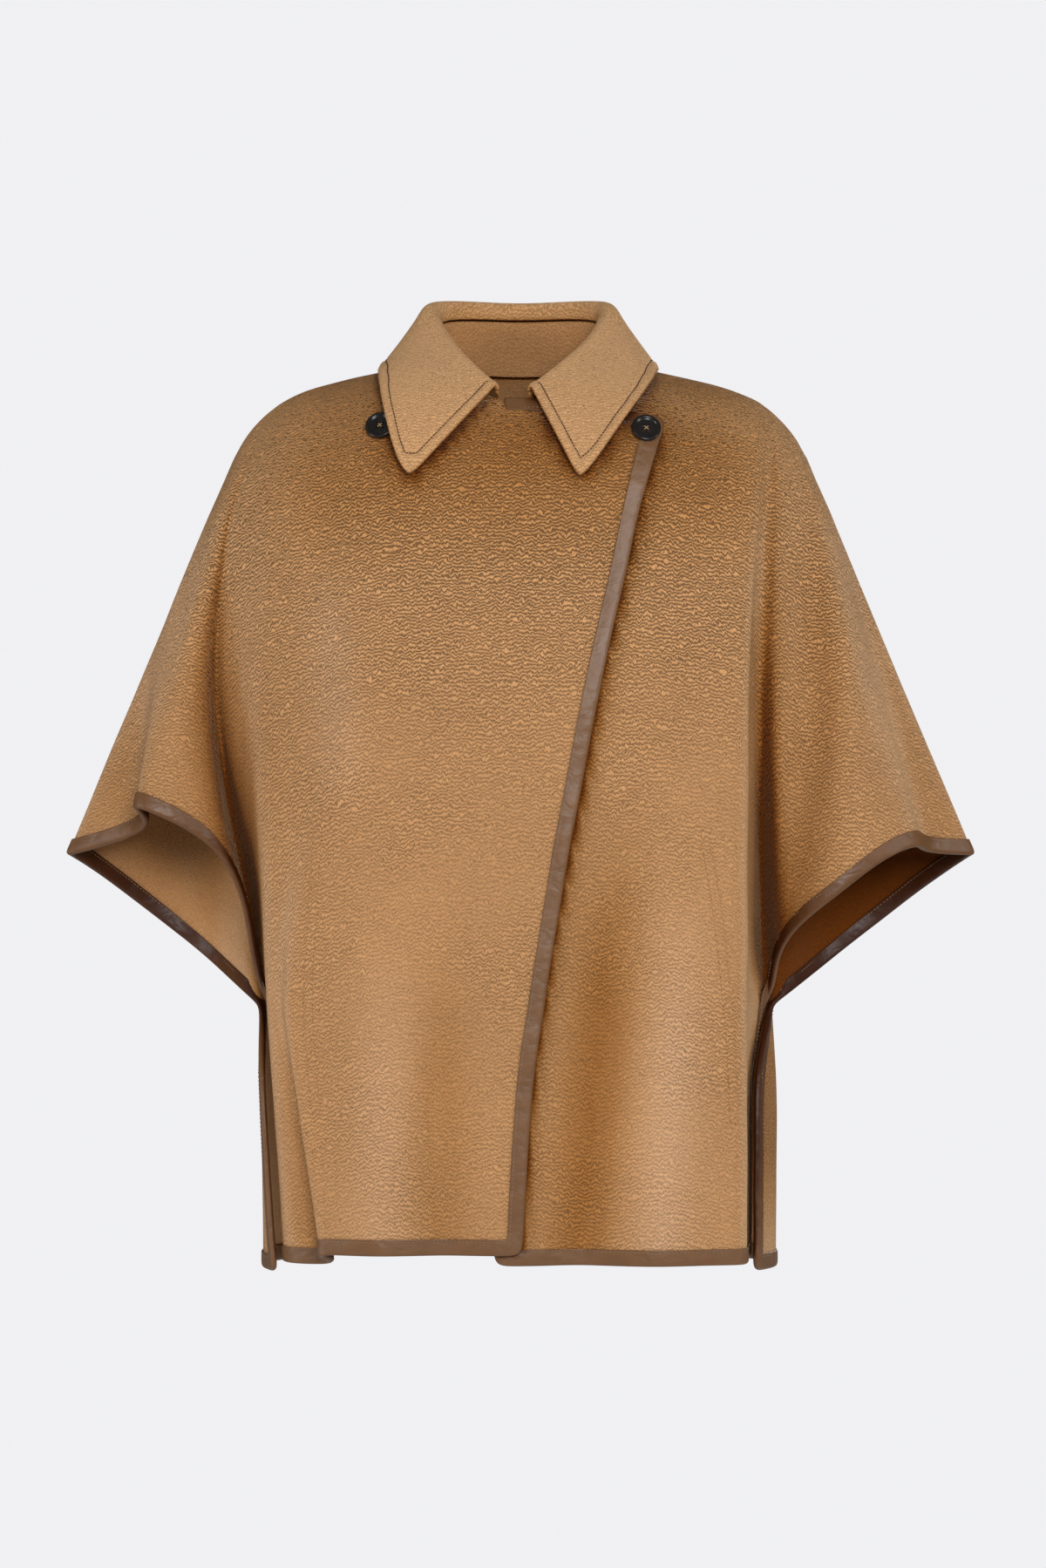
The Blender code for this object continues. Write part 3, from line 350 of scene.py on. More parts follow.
def neck_turn(face, x, reach):
    """Where the neckline crosses the fall line at x."""
    out = reach * math.sqrt(max(1 - (x / NECK_WIDTH) ** 2, 0.0))
    return math.asin(min(out / face_depth(face, x, CHEST_Z), 1.0) ** (1 / crown(face, x)[1]))


def top_edge_turn(x):
    """Where the fronts' bound top edge crosses the fall line at x."""
    top = shoulder_z(x)
    return math.acos(1 - (top - TOP_EDGE_Z + TOP_EDGE_SLOPE * abs(x)) / (top - CHEST_Z))


def front_lift(x, z):
    """How far the upper front lies outside the form, which it does where the fronts overlap."""
    below_neck = smooth((-z - OVERLAP_TOP) / OVERLAP_FADE_DOWN)
    return OVERLAP * below_neck * (1 - smooth((-x - OVERLAP_END) / OVERLAP_FADE_ACROSS))


def no_lift(x, z):
    return 0.0


# Grids of points. A row runs from the closing edge, or the right side of the back, to the other side.


def fall_point(line, stage, share):
    """Point of a fall line as (distance, depth, height)."""
    top_z = shoulder_z(line.top)
    if (stage, share) == ROWS[1]:
        return line.top, SEAM + SEAM_STRIP, top_z
    if stage == 0:
        turn = share * math.pi / 2
        depth = line.chest[1]
        straight = max(0.0, 1 - depth / STRAIGHT_DEPTH)
        drop = lerp(1 - math.cos(turn), share, straight)
        out = SEAM + (depth - SEAM) * math.sin(turn)
        return lerp(line.top, line.chest[0], drop), out, lerp(top_z, CHEST_Z, drop)
    levels = [(*line.chest, CHEST_Z), (*line.elbow, ELBOW_Z), line.cuff]
    if line.hem:
        levels += [(*line.hip, HIP_Z), line.hem]
    xs, ys, knots = zip(*levels)
    z = knots[stage - 1] if share == 0 else lerp(knots[stage - 1], knots[stage], share)
    return pchip(z, (top_z, *knots), (line.top, *xs)), pchip(z, knots, ys, 0), z


def face_point(face, top, xs, start, hem_z, lift, stage, share):
    """Point of a fall line on a hanging face, whose x is xs at the chest, elbow, joint, hip and hem."""
    if stage == 0:
        if share == ROWS[1][1]:
            if start == 0:
                return top, SEAM + SEAM_STRIP, crown(face, top)[0]
            share = lerp(share, NECK_SHARE, smooth(start / NECK_TURN))
        turn = lerp(start, math.pi / 2, share)
        x = lerp(top, xs[0], share if start > LEAST_TURN else 1 - math.cos(turn))
        depth, z = yoke_point(face, x, turn)
        out = lift(x, z)
        return x, max(depth, SEAM) + out * math.sin(turn), z + out * math.cos(turn)
    knots = (CHEST_Z, ELBOW_Z, JOINT_Z, HIP_Z, hem_z)
    z = knots[stage - 1] if share == 0 else lerp(knots[stage - 1], knots[stage], share)
    x = pchip(z, (0.0, *knots), (top, *xs))
    return x, face_depth(face, x, z) + lift(x, z), z


def overarm_points(stage, share):
    """The last two points of a row: beside the over-arm seam, and on it."""
    if stage == 0:
        z = lerp(ARC_END[1], CHEST_Z, share)
    else:
        knots = (CHEST_Z, ELBOW_Z, CUFF_Z)
        z = knots[stage - 1] if share == 0 else lerp(knots[stage - 1], knots[stage], share)
    x = ARC_END[0] + (ARC_END[1] - z) / OVERARM_SLOPE
    if (stage, share) == ROWS[0]:
        return (x - LAST_STEP, SEAM, shoulder_z(x - LAST_STEP)), (x, SEAM, z)
    return (x, SEAM + SEAM_STRIP, z), (x, SEAM, z)


def finished_row(face_points, falls, stage, share):
    """A row from its points on the face outwards, with one more point beside the underarm line."""
    below = stage > CUFF_STAGE or (stage == CUFF_STAGE and share > 0)
    points, cells = list(face_points), [1] * len(face_points)
    underarm = 0
    for line in falls:
        if below and line.hem is None:
            break
        at_cuff = line.hem is None and stage == CUFF_STAGE
        points.append(line.cuff if at_cuff else fall_point(line, stage, share))
        cells.append(line.cells)
        if line.hem:
            underarm = sum(cells) - 1
    if not below:
        points += overarm_points(stage, share)
        cells += [2, 1]
    row = through(points, cells)
    return np.insert(row, underarm, towards(row[underarm], row[underarm - 1]), axis=0)


def towards(edge, inner):
    """Points one edge cell in from an edge."""
    apart = np.linalg.norm(inner - edge, axis=-1, keepdims=True)
    return edge + (inner - edge) * np.minimum(BINDING / apart, WIDEST_CELL)


def finished_grid(rows, both_sides, bound):
    """Grid of equal rows, empty beyond a short row, with a row beside the cuff, the hem and the top edge."""
    grid = np.full((len(rows), len(rows[0]), 3), np.nan)
    for r, row in enumerate(rows):
        first = (len(rows[0]) - len(row)) // 2 if both_sides else 0
        grid[r, first : first + len(row)] = row
    grid[1, :bound] = towards(grid[0, :bound], grid[2, :bound])
    cuff = CUFF_ROW - 1
    near_cuff = towards(grid[cuff], grid[cuff - 1])
    near_hem = towards(grid[-1], grid[-2])
    return np.concatenate([grid[:cuff], near_cuff[None], grid[cuff:-1], near_hem[None], grid[-1:]])


def level_reaches(line):
    """Distances of a fall line from the centre at the chest, elbow, joint, hip and hem."""
    return [at[0] for at in (line.chest, line.elbow, line.cuff, line.hip, line.hem)]


def front_grid(side):
    """Grid of a front from its closing edge to the over-arm seam: side 1 is the left front, -1 the right."""
    upper = side < 0
    falls = RIGHT_FRONT_FALLS if upper else LEFT_FRONT_FALLS
    tops, bound = (UPPER_TOPS, UPPER_BOUND) if upper else (UNDER_TOPS, UNDER_BOUND)
    hem_z = RIGHT_HEM_Z if upper else LEFT_HEM_Z
    heights, edge_xs = zip(*CLOSING_EDGE)
    side_line = falls[0]
    reaches = level_reaches(side_line)
    edges = [pchip(z, heights, edge_xs) for z in (CHEST_Z, ELBOW_Z, JOINT_Z, HIP_Z, hem_z)]
    edges = [-x if upper else -UNDER_SHARE * x - UNDER_SHIFT for x in edges]
    lines = []
    for i, top in enumerate(tops):
        xs = [lerp(edge, reach, i / len(tops)) for edge, reach in zip(edges, reaches)]
        if i == 1:
            xs = [edge + BINDING for edge in edges]
        if i < bound:
            start = top_edge_turn(top)
        else:
            start = neck_turn(FRONT_FACE, top * side, NECK_FRONT) if top < NECK_WIDTH else 0.0
        lines.append((top * side, [x * side for x in xs], start))

    def lift(x, z):
        return front_lift(x, z) if upper else 0.0

    rows = []
    for stage, share in ROWS:
        points = []
        for top, xs, start in lines:
            x, y, z = face_point(FRONT_FACE, top, xs, start, hem_z, lift, stage, share)
            points.append((x * side, y, z))
        rows.append(finished_row(points, falls, stage, share) * (side, -1, 1))
    return finished_grid(rows, False, bound)


def back_grid():
    """Grid of the back from its right over-arm seam to its left one."""
    flank = BACK_SIDE_FALLS[0]
    left_falls = BACK_SIDE_FALLS + BACK_LEFT_FALLS + BACK_SLEEVE_FALLS
    right_falls = BACK_SIDE_FALLS + BACK_RIGHT_FALLS + BACK_SLEEVE_FALLS
    reaches = level_reaches(flank)
    rows = []
    for stage, share in ROWS:
        points = []
        for i, top in enumerate(BACK_TOPS):
            xs = [reach * i / len(BACK_TOPS) for reach in reaches]
            start = neck_turn(BACK_FACE, top, NECK_BACK) if top < NECK_WIDTH else 0.0
            points.append(face_point(BACK_FACE, top, xs, start, flank.hem[2], no_lift, stage, share))
        left = finished_row(points, left_falls, stage, share)
        right = finished_row(points, right_falls, stage, share)
        rows.append(np.vstack([right[:0:-1] * (-1, 1, 1), left]))
    return finished_grid(rows, True, 0)


# Meshes.


def wall_normals(points, triangles):
    """Step from the middle of the cloth to a face one unit away, at each point.

    It leans as little as it can from any triangle round the point, so that a sharp fold keeps its thickness.
    """
    around = [[] for _ in points]
    for corners in triangles:
        p, q, s = (points[i] for i in corners)
        side = np.cross(q - p, s - p)
        side /= np.linalg.norm(side)
        for i in corners:
            around[i].append(side)
    steps = np.empty((len(points), 3))
    for i, sides in enumerate(around):
        sides = np.array(sides)
        step = sides.sum(axis=0)
        for round_index in range(NORMAL_ROUNDS):
            step /= np.linalg.norm(step)
            step = step + sides[np.argmin(sides @ step)] * NORMAL_PUSH / (1 + round_index / NORMAL_EASE)
        if abs(points[i][1]) < ON_SEAM:
            step[1] = 0
        step /= np.linalg.norm(step)
        steps[i] = step / max((sides @ step).min(), LEAST_LEAN)
    return steps


def fall_section(station):
    """Section of the collar's fall: up inside, over the roll, and down to the free edge."""
    roll, edge = np.array(station.roll, float), np.array(station.edge, float)
    out = (edge - roll) * (1, 1, 0)
    out /= np.linalg.norm(out)
    up = np.array((0, 0, 1.0))
    radius = station.radius
    inside = roll - 2 * radius * out
    points = [inside - up * (radius + station.turn), inside - up * radius]
    for angle in ROLL_ANGLES:
        points.append(roll + radius * ((math.cos(angle) - 1) * out + (math.sin(angle) - 1) * up))
    start = roll - radius * up
    bulge = np.array((0, math.copysign(station.bulge, edge[1]), 0))
    for share in FALL_SHARES:
        points.append(lerp(start, edge, share) + bulge * math.sin(math.pi * share**BULGE_POWER))
    return np.array(points)


def collar_fall_grid():
    """Grid of the fall: a row for each section from its right front to its left front."""
    sections = np.array([fall_section(station) for station in COLLAR])
    cells = [station.cells for station in COLLAR]
    return np.stack([through(sections[:, i], cells) for i in range(sections.shape[1])], axis=1)


def neckline(grids):
    """Points of the neckline from the right front round the back to the left front."""
    right = grids["right_front"][0, UPPER_BOUND - 1 : UPPER_TOPS.index(82) + 1]
    left = grids["left_front"][0, UNDER_BOUND : UNDER_TOPS.index(82) + 1]
    back = grids["back"][0]
    back = back[np.abs(back[:, 0]) < NECK_WIDTH - 1]
    return np.vstack([right, back, left[::-1]])


def stand_grid(fall, grids):
    """Grid of the stand: an upright wall from inside the neckline to the fall's inner edge."""
    neck = neckline(grids)
    turns = np.unwrap(np.arctan2(neck[:, 1], neck[:, 0]))
    order = np.argsort(turns)
    rows = []
    tops = fall[:, 0]
    angles = np.unwrap(np.arctan2(tops[:, 1], tops[:, 0]))
    for top, angle in zip(tops, angles):
        x, y, z = (np.interp(angle, turns[order], neck[order, axis]) for axis in range(3))
        inward = -np.array((x, y, 0)) / math.hypot(x, y)
        inset = STAND_INSET + smooth(0.5 - x / STAND_SIDE) * (front_lift(x, z) + STAND_BACKSET)
        foot = np.array((x, y, z - STAND_OVERLAP)) + inward * inset
        head = top - (0, 0, STAND_GAP)
        knee = lerp(head, foot, STAND_KNEE) * (0, 0, 1) + head * (1, 1, 0)
        rows.append([foot, lerp(foot, knee, 0.5), knee, head])
    return np.array(rows)


# What the scene adds to the forms above.

WELT_WIDTH, WELT_ROWS, WELT_SINK = 7.0, 41, 0.2
WELT_SHARES = (-0.5, -0.3, 0.0, 0.3, 0.5)  # across the welt
WELT_RISES = (0.4, 0.8, 0.7, 0.8, 0.4)  # above the cloth there

# Section of the leather binding: (distance in from the cloth's edge, height above the cloth's middle).
BINDING_FACE = (
    (11.5, 1.8), (11.45, 2.35), (10.9, 2.6), (9.3, 2.5), (6.5, 2.7), (2.0, 2.65), (-0.3, 2.45), (-1.35, 1.4),
)
BINDING_FOLD = (-1.8, 0.0)
BINDING_BACK = ((-0.6, 1.55), (2.0, 1.6), (10.6, 1.6))
BINDING_END = 0.1  # share of the first and last cell where an end is closed

# A stitch: (share of its length, share of its radius) along it.
STITCH_PROFILE = ((-0.5, 0.0), (-0.36, 0.8), (0.0, 1.0), (0.36, 0.8), (0.5, 0.0))
STITCH_SIDES, STITCH_SINK = 6, 0.8
STITCH_INSET = 2.2  # from the binding's free edge
STITCH_LENGTH, STITCH_RADIUS = 0.72, 0.3  # length as a share of the pitch
STITCH_HEIGHT, STITCH_RISE = BINDING_FACE[3][1], 0.12  # above the cloth's middle, and above the leather

ROLL_COLUMN = 3  # of the collar's grid, at the top of the roll
CORNER_ROUND = 0.3  # how far the front ends' upper corners are drawn in
TOPSTITCH_INSET, TOPSTITCH_STEP, TOPSTITCH_REACH = 8.5, 2.0, 4
TOPSTITCH_NEAREST, STRAIGHTEST = 0.97, 0.9
TOPSTITCH_PITCH, TOPSTITCH_LENGTH, TOPSTITCH_RADIUS = 0.85, 0.84, 0.62
COLLAR_CLEAR = 12.0
PUFF, PUFF_POWER, EDGE_STEPS = 0.7, 0.7, 12  # of the collar between its topstitch and its edge
GROOVE, GROOVE_WIDTH = 1.0, 1.7

BUTTON_RADIUS, BUTTON_THICK, BUTTON_SIDES = 11.5, 3.6, 48
BUTTON_STEPS = ((2.4, 0.0), (0.9, -1.2), (3.2, -0.4))  # the rim, its inner slope and the dish: (inset, depth)
BUTTON_BEVEL, SHARP_ANGLE, UPRIGHT = 1.0, math.radians(35), 0.9
BUTTON_HOLE, HOLE_PITCH, HOLE_SIDES, DRILL = 1.0, 2.1, 16, 12.0
THREAD_RUNS = ((-1.9, -1.9, 1.9, 1.9), (-1.9, 1.9, 1.9, -1.9))
THREAD_LENGTH, THREAD_RADIUS, THREAD_RISE = 5.4, 0.55, 0.7
ONE_STITCH = 0.9999  # pitch as a share of the run, which then holds one stitch

# Loose hairs: how far apart, how far from the edge's line, and which way that lies from the collar.
HAIR_PITCH, HAIR_SPREAD, HAIR_SIDE = 0.22, 1.6, (0, -2.5, -1.0)
HAIR_SECTION, HAIR_RADIUS, HAIR_ROOT = ((1.0, 0.0), (-0.5, 0.87), (-0.5, -0.87)), 0.06, 0.3

# Unevenness of hanging cloth: size, amount and place in the noise of its broad, small and sideways parts.
SWAYS = ((75.0, 1.7, (0, 0, 0)), (26.0, 0.55, (7, 3, 5)), (60.0, 0.8, (2, 9, 4)))

# Nap and ripples of the wool, in metres.
YOKE_SHADE_HEIGHTS = (-0.20, -0.07)  # heights where the painted yoke shade sets in: it darkens the yoke's colour, where the nap turns over and looks darker under the lights
YOKE_SHADE_SIDES = (0.14, 0.23)  # distance from the centre where the painted yoke shade ends
# Brightness of the yoke under its painted shade.
YOKE_SHADE = 0.68
RIPPLE_ACROSS, RIPPLE_DOWN, RIPPLE_BEND = 230.0, 92.0, 11.0  # a metre, and radians
RIPPLE_FADE = (-0.4, -0.15)  # heights between which the ripples grow stronger
RIPPLE_DEPTHS = (0.42, 0.45, 0.9)  # everywhere, in patches and on the upper half
TONE_SHARES = (0.75, 1.1, 0.3)  # of ripples, flecks and clouds; the ripples' share is painted shade in their troughs
WOOL_TONES, LEATHER_TONES = (0.45, 1.55), (0.72, 1.28)  # darkest and lightest
PUCKER_SCALE = (70, 70, 95)
FLECK_SCALE = (800.0, 800.0, 1000.0)  # a metre

# Painted shade: how closed in a point is, and what is added to that, in millimetres and shares. It darkens
# the colour of the cloth and the leather in folds, under the collar and inside the sleeves, and lightens open
# cloth turned to the sides.
SHADED_PIECES = ("back", "front", "binding", "fall", "stand")
HOLLOW_RAYS, HOLLOW_REACH, HOLLOW_START = 28, 150.0, 2.0
# Painted brightness of the colour, from 1.27 where a point is most open to 0.2 where it is most closed in.
HOLLOW_RANGE, PAINTED_BRIGHTNESS = (-0.15, 0.52), (1.27, 0.2)
SHADE_POWERS = (0.8, 1.25, 2.2)  # of red, green and blue
FOLD_SHADE = 0.022  # painted shade for each millimetre of a soft fold's depth: darker in its troughs, lighter on its ridges
LEFT_SLEEVE_SHADE, RIGHT_SLEEVE_SHADE = 0.52, -0.06  # painted shade inside the sleeves: the left is turned from the light, and the right gets a little painted light
EDGE_SHADE, TURNED_PAINTED_LIGHT = 0.5, 0.14  # painted shade on the leather under both sleeves, and painted light on open cloth turned to the sides
LEFT_SLIT_SHADE, OPEN_SLIT = 0.45, 0.5  # painted shade behind the left slit; the right one stands more open, and its painted shade is halved
COLLAR_SHADE, CUFF_SHADE, STAND_SHARE = 0.1, 0.12, 0.5  # painted shade below the collar and on the cuffs, and the share of it that is kept inside the neck

# Where that starts, and how wide its soft edge is.
SIDEWAYS, BELOW_SHOULDER, STILL_OPEN = (0.45, 0.4), (100, 60), (-0.2, 0.1)
COLLAR_HEIGHT, COLLAR_SPREAD = (-120, 60), 55
CUFF_SIDE, CUFF_HEIGHT = (195, 10), (-500, 20)
SLEEVE_SIDE, SLEEVE_HEIGHT = (150, 60), (-540, 30)
SLIT_SIDE, SLIT_HEIGHT = (150, 30), (-730, 110)

FLOOR_Z, FLOOR_RADIUS, FLOOR_SIDES = -1.45, 2.0, 96
CAMERA_X, CAMERA_Z = 0.0021, -0.34055
AIM = (0, 0, -0.36)
Light = namedtuple("Light", "name place side power")
LIGHTS = (
    Light("key", (0.5, -3.2, 0.5), 1.0, 60.0),
    Light("left", (-2.7, -1.9, 0.1), 1.0, 28.0),
    Light("right", (2.8, -1.8, 0.2), 1.0, 26.0),
    Light("low", (-2.9, -1.2, -1.5), 0.8, 10.0),
    Light("back", (0.8, 3.0, 0.4), 1.6, 48.0),
)


# Small tools.


def deselect_all():
    bpy.ops.object.select_all(action="DESELECT")


def select_only(obj):
    deselect_all()
    obj.select_set(True)
    bpy.context.view_layer.objects.active = obj


def add_piece(name, points, faces, finish):
    """Piece of the points, which are in millimetres, riding on the frame."""
    mesh = bpy.data.meshes.new(name)
    mesh.from_pydata((np.asarray(points, float) * METRE).tolist(), [], faces)
    mesh.materials.append(finish)
    mesh.shade_smooth()
    obj = bpy.data.objects.new(name, mesh)
    bpy.context.scene.collection.objects.link(obj)
    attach(obj, "root")
    return obj


def apply_modifier(obj, kind, **settings):
    select_only(obj)
    modifier = obj.modifiers.new(kind.title(), kind)
    for key, value in settings.items():
        setattr(modifier, key, value)
    bpy.ops.object.modifier_apply(modifier=modifier.name)


def refine(obj, levels):
    if levels:
        apply_modifier(obj, "SUBSURF", levels=levels, render_levels=levels)
    obj.data.shade_smooth()


def turn_outward(obj):
    select_only(obj)
    bpy.ops.object.mode_set(mode="EDIT")
    bpy.ops.mesh.select_all(action="SELECT")
    bpy.ops.mesh.normals_make_consistent(inside=False)
    bpy.ops.object.mode_set(mode="OBJECT")


def surface_of(*names):
    """Search tree over finished pieces, in millimetres."""
    points, faces = [], []
    for name in names:
        mesh = bpy.data.objects[name].data
        base = len(points)
        points += [tuple(vertex.co / METRE) for vertex in mesh.vertices]
        faces += [tuple(base + i for i in polygon.vertices) for polygon in mesh.polygons]
    return BVHTree.FromPolygons(points, faces)


def touch(tree, x, z):
    """Point and normal where a line from the front along Y first meets the surface."""
    location, normal, _, _ = tree.ray_cast(Vector((x, -400, z)), Vector((0, 1, 0)))
    if location is None:
        raise RuntimeError(f"nothing lies at x {x:.1f}, z {z:.1f}")
    return np.array(location), np.array(normal)


def search_tree(points):
    tree = KDTree(len(points))
    for i, point in enumerate(points):
        tree.insert(point, i)
    tree.balance()
    return tree


def wander(point):
    """Small soft unevenness of hanging cloth at a point, the same for all that lies there."""
    broad, small, aside = (
        amount * noise.noise(Vector(point) / size + Vector(start)) for size, amount, start in SWAYS
    )
    return np.array((aside, broad + small, 0.0))


def soften(obj):
    """Moves every point of the piece with the cloth's unevenness."""
    vertices = obj.data.vertices
    flat = np.empty(len(vertices) * 3)
    vertices.foreach_get("co", flat)
    points = flat.reshape(-1, 3) / METRE
    moved = np.array([point + wander(point) for point in points])
    vertices.foreach_set("co", (moved * METRE).ravel())
    obj.data.update()


# Painted shade: how closed in each point lies.


def rising(value, start, width):
    """Soft step from 0 at start to 1 a width further on."""
    return smooth((value - start) / width)


def spread_directions(count):
    """Unit directions over the upper half of a sphere, most of them near its pole."""
    turns = np.arange(count) * math.pi * (3 - math.sqrt(5))
    reach = np.sqrt((np.arange(count) + 0.5) / count)
    return np.stack([reach * np.cos(turns), reach * np.sin(turns), np.sqrt(1 - reach**2)], axis=1)


def store_painted_shade():
    """Stores on each cloth and leather piece how closed in each point is, as painted shade for the finishes
    to read.
    """
    pieces = shaded_pieces()
    tree = surface_of(*(obj.name for obj in pieces))
    rays = spread_directions(HOLLOW_RAYS)
    for obj in pieces:
        layer = obj.data.attributes.new("hollow", "FLOAT", "POINT")
        for i, vertex in enumerate(obj.data.vertices):
            place = vertex.co / METRE
            closed = closed_share(tree, rays, place, vertex.normal)
            layer.data[i].value = place_shade(obj.name, place, vertex.normal, closed)


def closed_share(tree, rays, place, normal):
    """How closed in a point is: 0 in the open, and more the nearer and wider the cloth before it lies."""
    side = normal.orthogonal().normalized()
    start = place + normal * HOLLOW_START
    closed = 0.0
    for ray in rays @ np.array((side, normal.cross(side), normal)):
        _, _, _, distance = tree.ray_cast(start, Vector(ray), HOLLOW_REACH)
        if distance is not None:
            closed += 1 - distance / HOLLOW_REACH
    return closed / HOLLOW_RAYS


def place_shade(name, place, normal, closed):
    """The closed share of a point with the painted shade and painted light that its place on the cape adds to
    it.
    """
    across = abs(place.x)
    # Painted shade halved at the right slit, which stands more open.
    if place.x < -SLIT_SIDE[0] and place.z < SLEEVE_HEIGHT[0]:
        closed *= OPEN_SLIT
    # Painted light on open cloth turned to the sides, below the shoulders.
    turned = rising(abs(normal.x), *SIDEWAYS) * rising(-place.z, *BELOW_SHOULDER)
    closed -= TURNED_PAINTED_LIGHT * turned * rising(-closed, *STILL_OPEN)
    if name.endswith("front"):
        # Painted shade under the collar and in the soft folds' troughs, and painted light on their ridges.
        below_collar = math.exp(-((place.x / COLLAR_SPREAD) ** 2)) * rising(place.z, *COLLAR_HEIGHT)
        closed += COLLAR_SHADE * below_collar - FOLD_SHADE * soft_depth(place.x, place.z)
    elif name.endswith("stand"):
        # Painted shade inside the neck, halved.
        closed *= STAND_SHARE
    elif name.endswith("front_binding"):
        # Painted shade on the fronts' leather at the cuffs, which faces down.
        closed += CUFF_SHADE * rising(across, *CUFF_SIDE) * rising(place.z, *CUFF_HEIGHT)
    elif name.startswith("cape_back") and normal.y < 0:
        # Painted shade inside the sleeves, on the leather under them and behind the left slit, and a little
        # painted light inside the right sleeve.
        sleeve = LEFT_SLEEVE_SHADE if place.x > 0 else RIGHT_SLEEVE_SHADE
        edge = EDGE_SHADE if name.endswith("binding") else 0.0
        closed += (sleeve + edge) * rising(across, *SLEEVE_SIDE) * rising(place.z, *SLEEVE_HEIGHT)
        closed += LEFT_SLIT_SHADE * rising(place.x, *SLIT_SIDE) * rising(place.z, *SLIT_HEIGHT)
    return closed


def shaded_pieces():
    pieces = [obj for obj in bpy.data.objects if obj.name.startswith("cape_")]
    return [obj for obj in pieces if obj.name.endswith(SHADED_PIECES)]


# Panels and their bindings.


def grid_cells(grid):
    """Index of each grid point that exists, and its four-cornered cells."""
    index, cells = {}, []
    for r, c in np.argwhere(~np.isnan(grid[..., 0])):
        index[int(r), int(c)] = len(index)
    for r, c in index:
        corners = [index.get(key) for key in ((r, c), (r + 1, c), (r + 1, c + 1), (r, c + 1))]
        if None not in corners:
            cells.append(tuple(corners))
    return index, cells


def shell(grid, outward, thickness):
    """Closed wall over a grid as points, faces and grid of normals, with its first cell facing outward."""
    index, cells = grid_cells(grid)
    points = np.array([grid[key] for key in index])
    p, q, s, _ = points[list(cells[0])]
    if np.dot(np.cross(q - p, s - p), outward) < 0:
        cells = [cell[::-1] for cell in cells]
    corners = [(a, b, c) for a, b, c, _ in cells] + [(a, c, d) for a, _, c, d in cells]
    steps = wall_normals(points, corners)
    free = {}
    for cell in cells:
        for edge in zip(cell, cell[1:] + cell[:1]):
            if free.pop(edge[::-1], None) is None:
                free[edge] = True
    count = len(points)
    faces = list(cells) + [tuple(i + count for i in cell[::-1]) for cell in cells]
    faces += [(b, a, a + count, b + count) for a, b in free]
    normals = np.full(grid.shape, np.nan)
    for key, i in index.items():
        normals[key] = steps[i]
    return np.vstack([points + steps * thickness / 2, points - steps * thickness / 2]), faces, normals


Panel = namedtuple("Panel", "name grid bound outward flat area")


@functools.cache
def cut_pieces():
    """The fronts and the back: each one's grid, bound top places, facing and cut size in metres."""
    return (
        Panel("left_front", front_grid(1), UNDER_BOUND, (0, -1, 0), (0.56, 0.73), 0.262),
        Panel("right_front", front_grid(-1), UPPER_BOUND, (0, -1, 0), (0.57, 0.73), 0.255),
        Panel("back", back_grid(), 0, (-1, 0, 1), (0.98, 0.78), 0.49),
    )


def binding_route(grid, bound):
    """Places round a panel's bound edge, each with the place one cell in.

    It runs from the top edge, or the first cuff, round the hem to the last cuff.
    """
    hem, end = len(grid) - 1, grid.shape[1]
    hemmed = np.flatnonzero(~np.isnan(grid[-1, :, 0]))
    first, last = int(hemmed[0]), int(hemmed[-1])
    if bound:
        route = [((0, c), (1, c)) for c in range(bound - 1, 0, -1)] + [((0, 0), (1, 1))]
        route += [((r, 0), (r, 1)) for r in range(1, hem)]
    else:
        route = [((CUFF_ROW, c), (CUFF_ROW - 1, c)) for c in range(first)]
        route += [((CUFF_ROW, first), (CUFF_ROW - 1, first + 1))]
        route += [((r, first), (r, first + 1)) for r in range(CUFF_ROW + 1, hem)]
    route += [((hem, first), (hem - 1, first + 1))]
    route += [((hem, c), (hem - 1, c)) for c in range(first + 1, last)]
    route += [((hem, last), (hem - 1, last - 1))]
    route += [((r, last), (r, last - 1)) for r in range(hem - 1, CUFF_ROW, -1)]
    route += [((CUFF_ROW, last), (CUFF_ROW - 1, last - 1))]
    route += [((CUFF_ROW, c), (CUFF_ROW - 1, c)) for c in range(last + 1, end)]
    return route


def step_inward(grid, route, i):
    """Unit step in from the cloth's edge at a place of the route, or along the mitre at a corner."""
    edge, inner = route[i]
    along = (grid[inner] - grid[edge]) / BINDING
    if inner[0] != edge[0] and inner[1] != edge[1]:
        return along
    run = grid[route[min(i + 1, len(route) - 1)][0]] - grid[route[max(i - 1, 0)][0]]
    run /= np.linalg.norm(run)
    square = along - run * np.dot(along, run)
    return square / np.linalg.norm(square)


def binding_rings(grid, normals, route):
    """The binding's section at each place of the route."""
    section = [*BINDING_FACE, BINDING_FOLD, *((d, -h) for d, h in BINDING_FACE[::-1])]
    section += [*((d, -h) for d, h in BINDING_BACK[::-1]), *BINDING_BACK]
    rings = []
    for i, (edge, inner) in enumerate(route):
        beyond = step_inward(grid, route, i)
        ring = []
        for distance, height in section:
            middle, normal = grid[edge] + beyond * distance, normals[edge]
            if distance > 0:
                share = distance / BINDING
                middle, normal = lerp(grid[edge], grid[inner], share), lerp(normal, normals[inner], share)
            ring.append(middle + normal * height)
        rings.append(np.array(ring))
    first, last = (lerp(rings[a], rings[b], BINDING_END) for a, b in ((0, 1), (-1, -2)))
    return [rings[0], first, *rings[1:-1], last, rings[-1]]


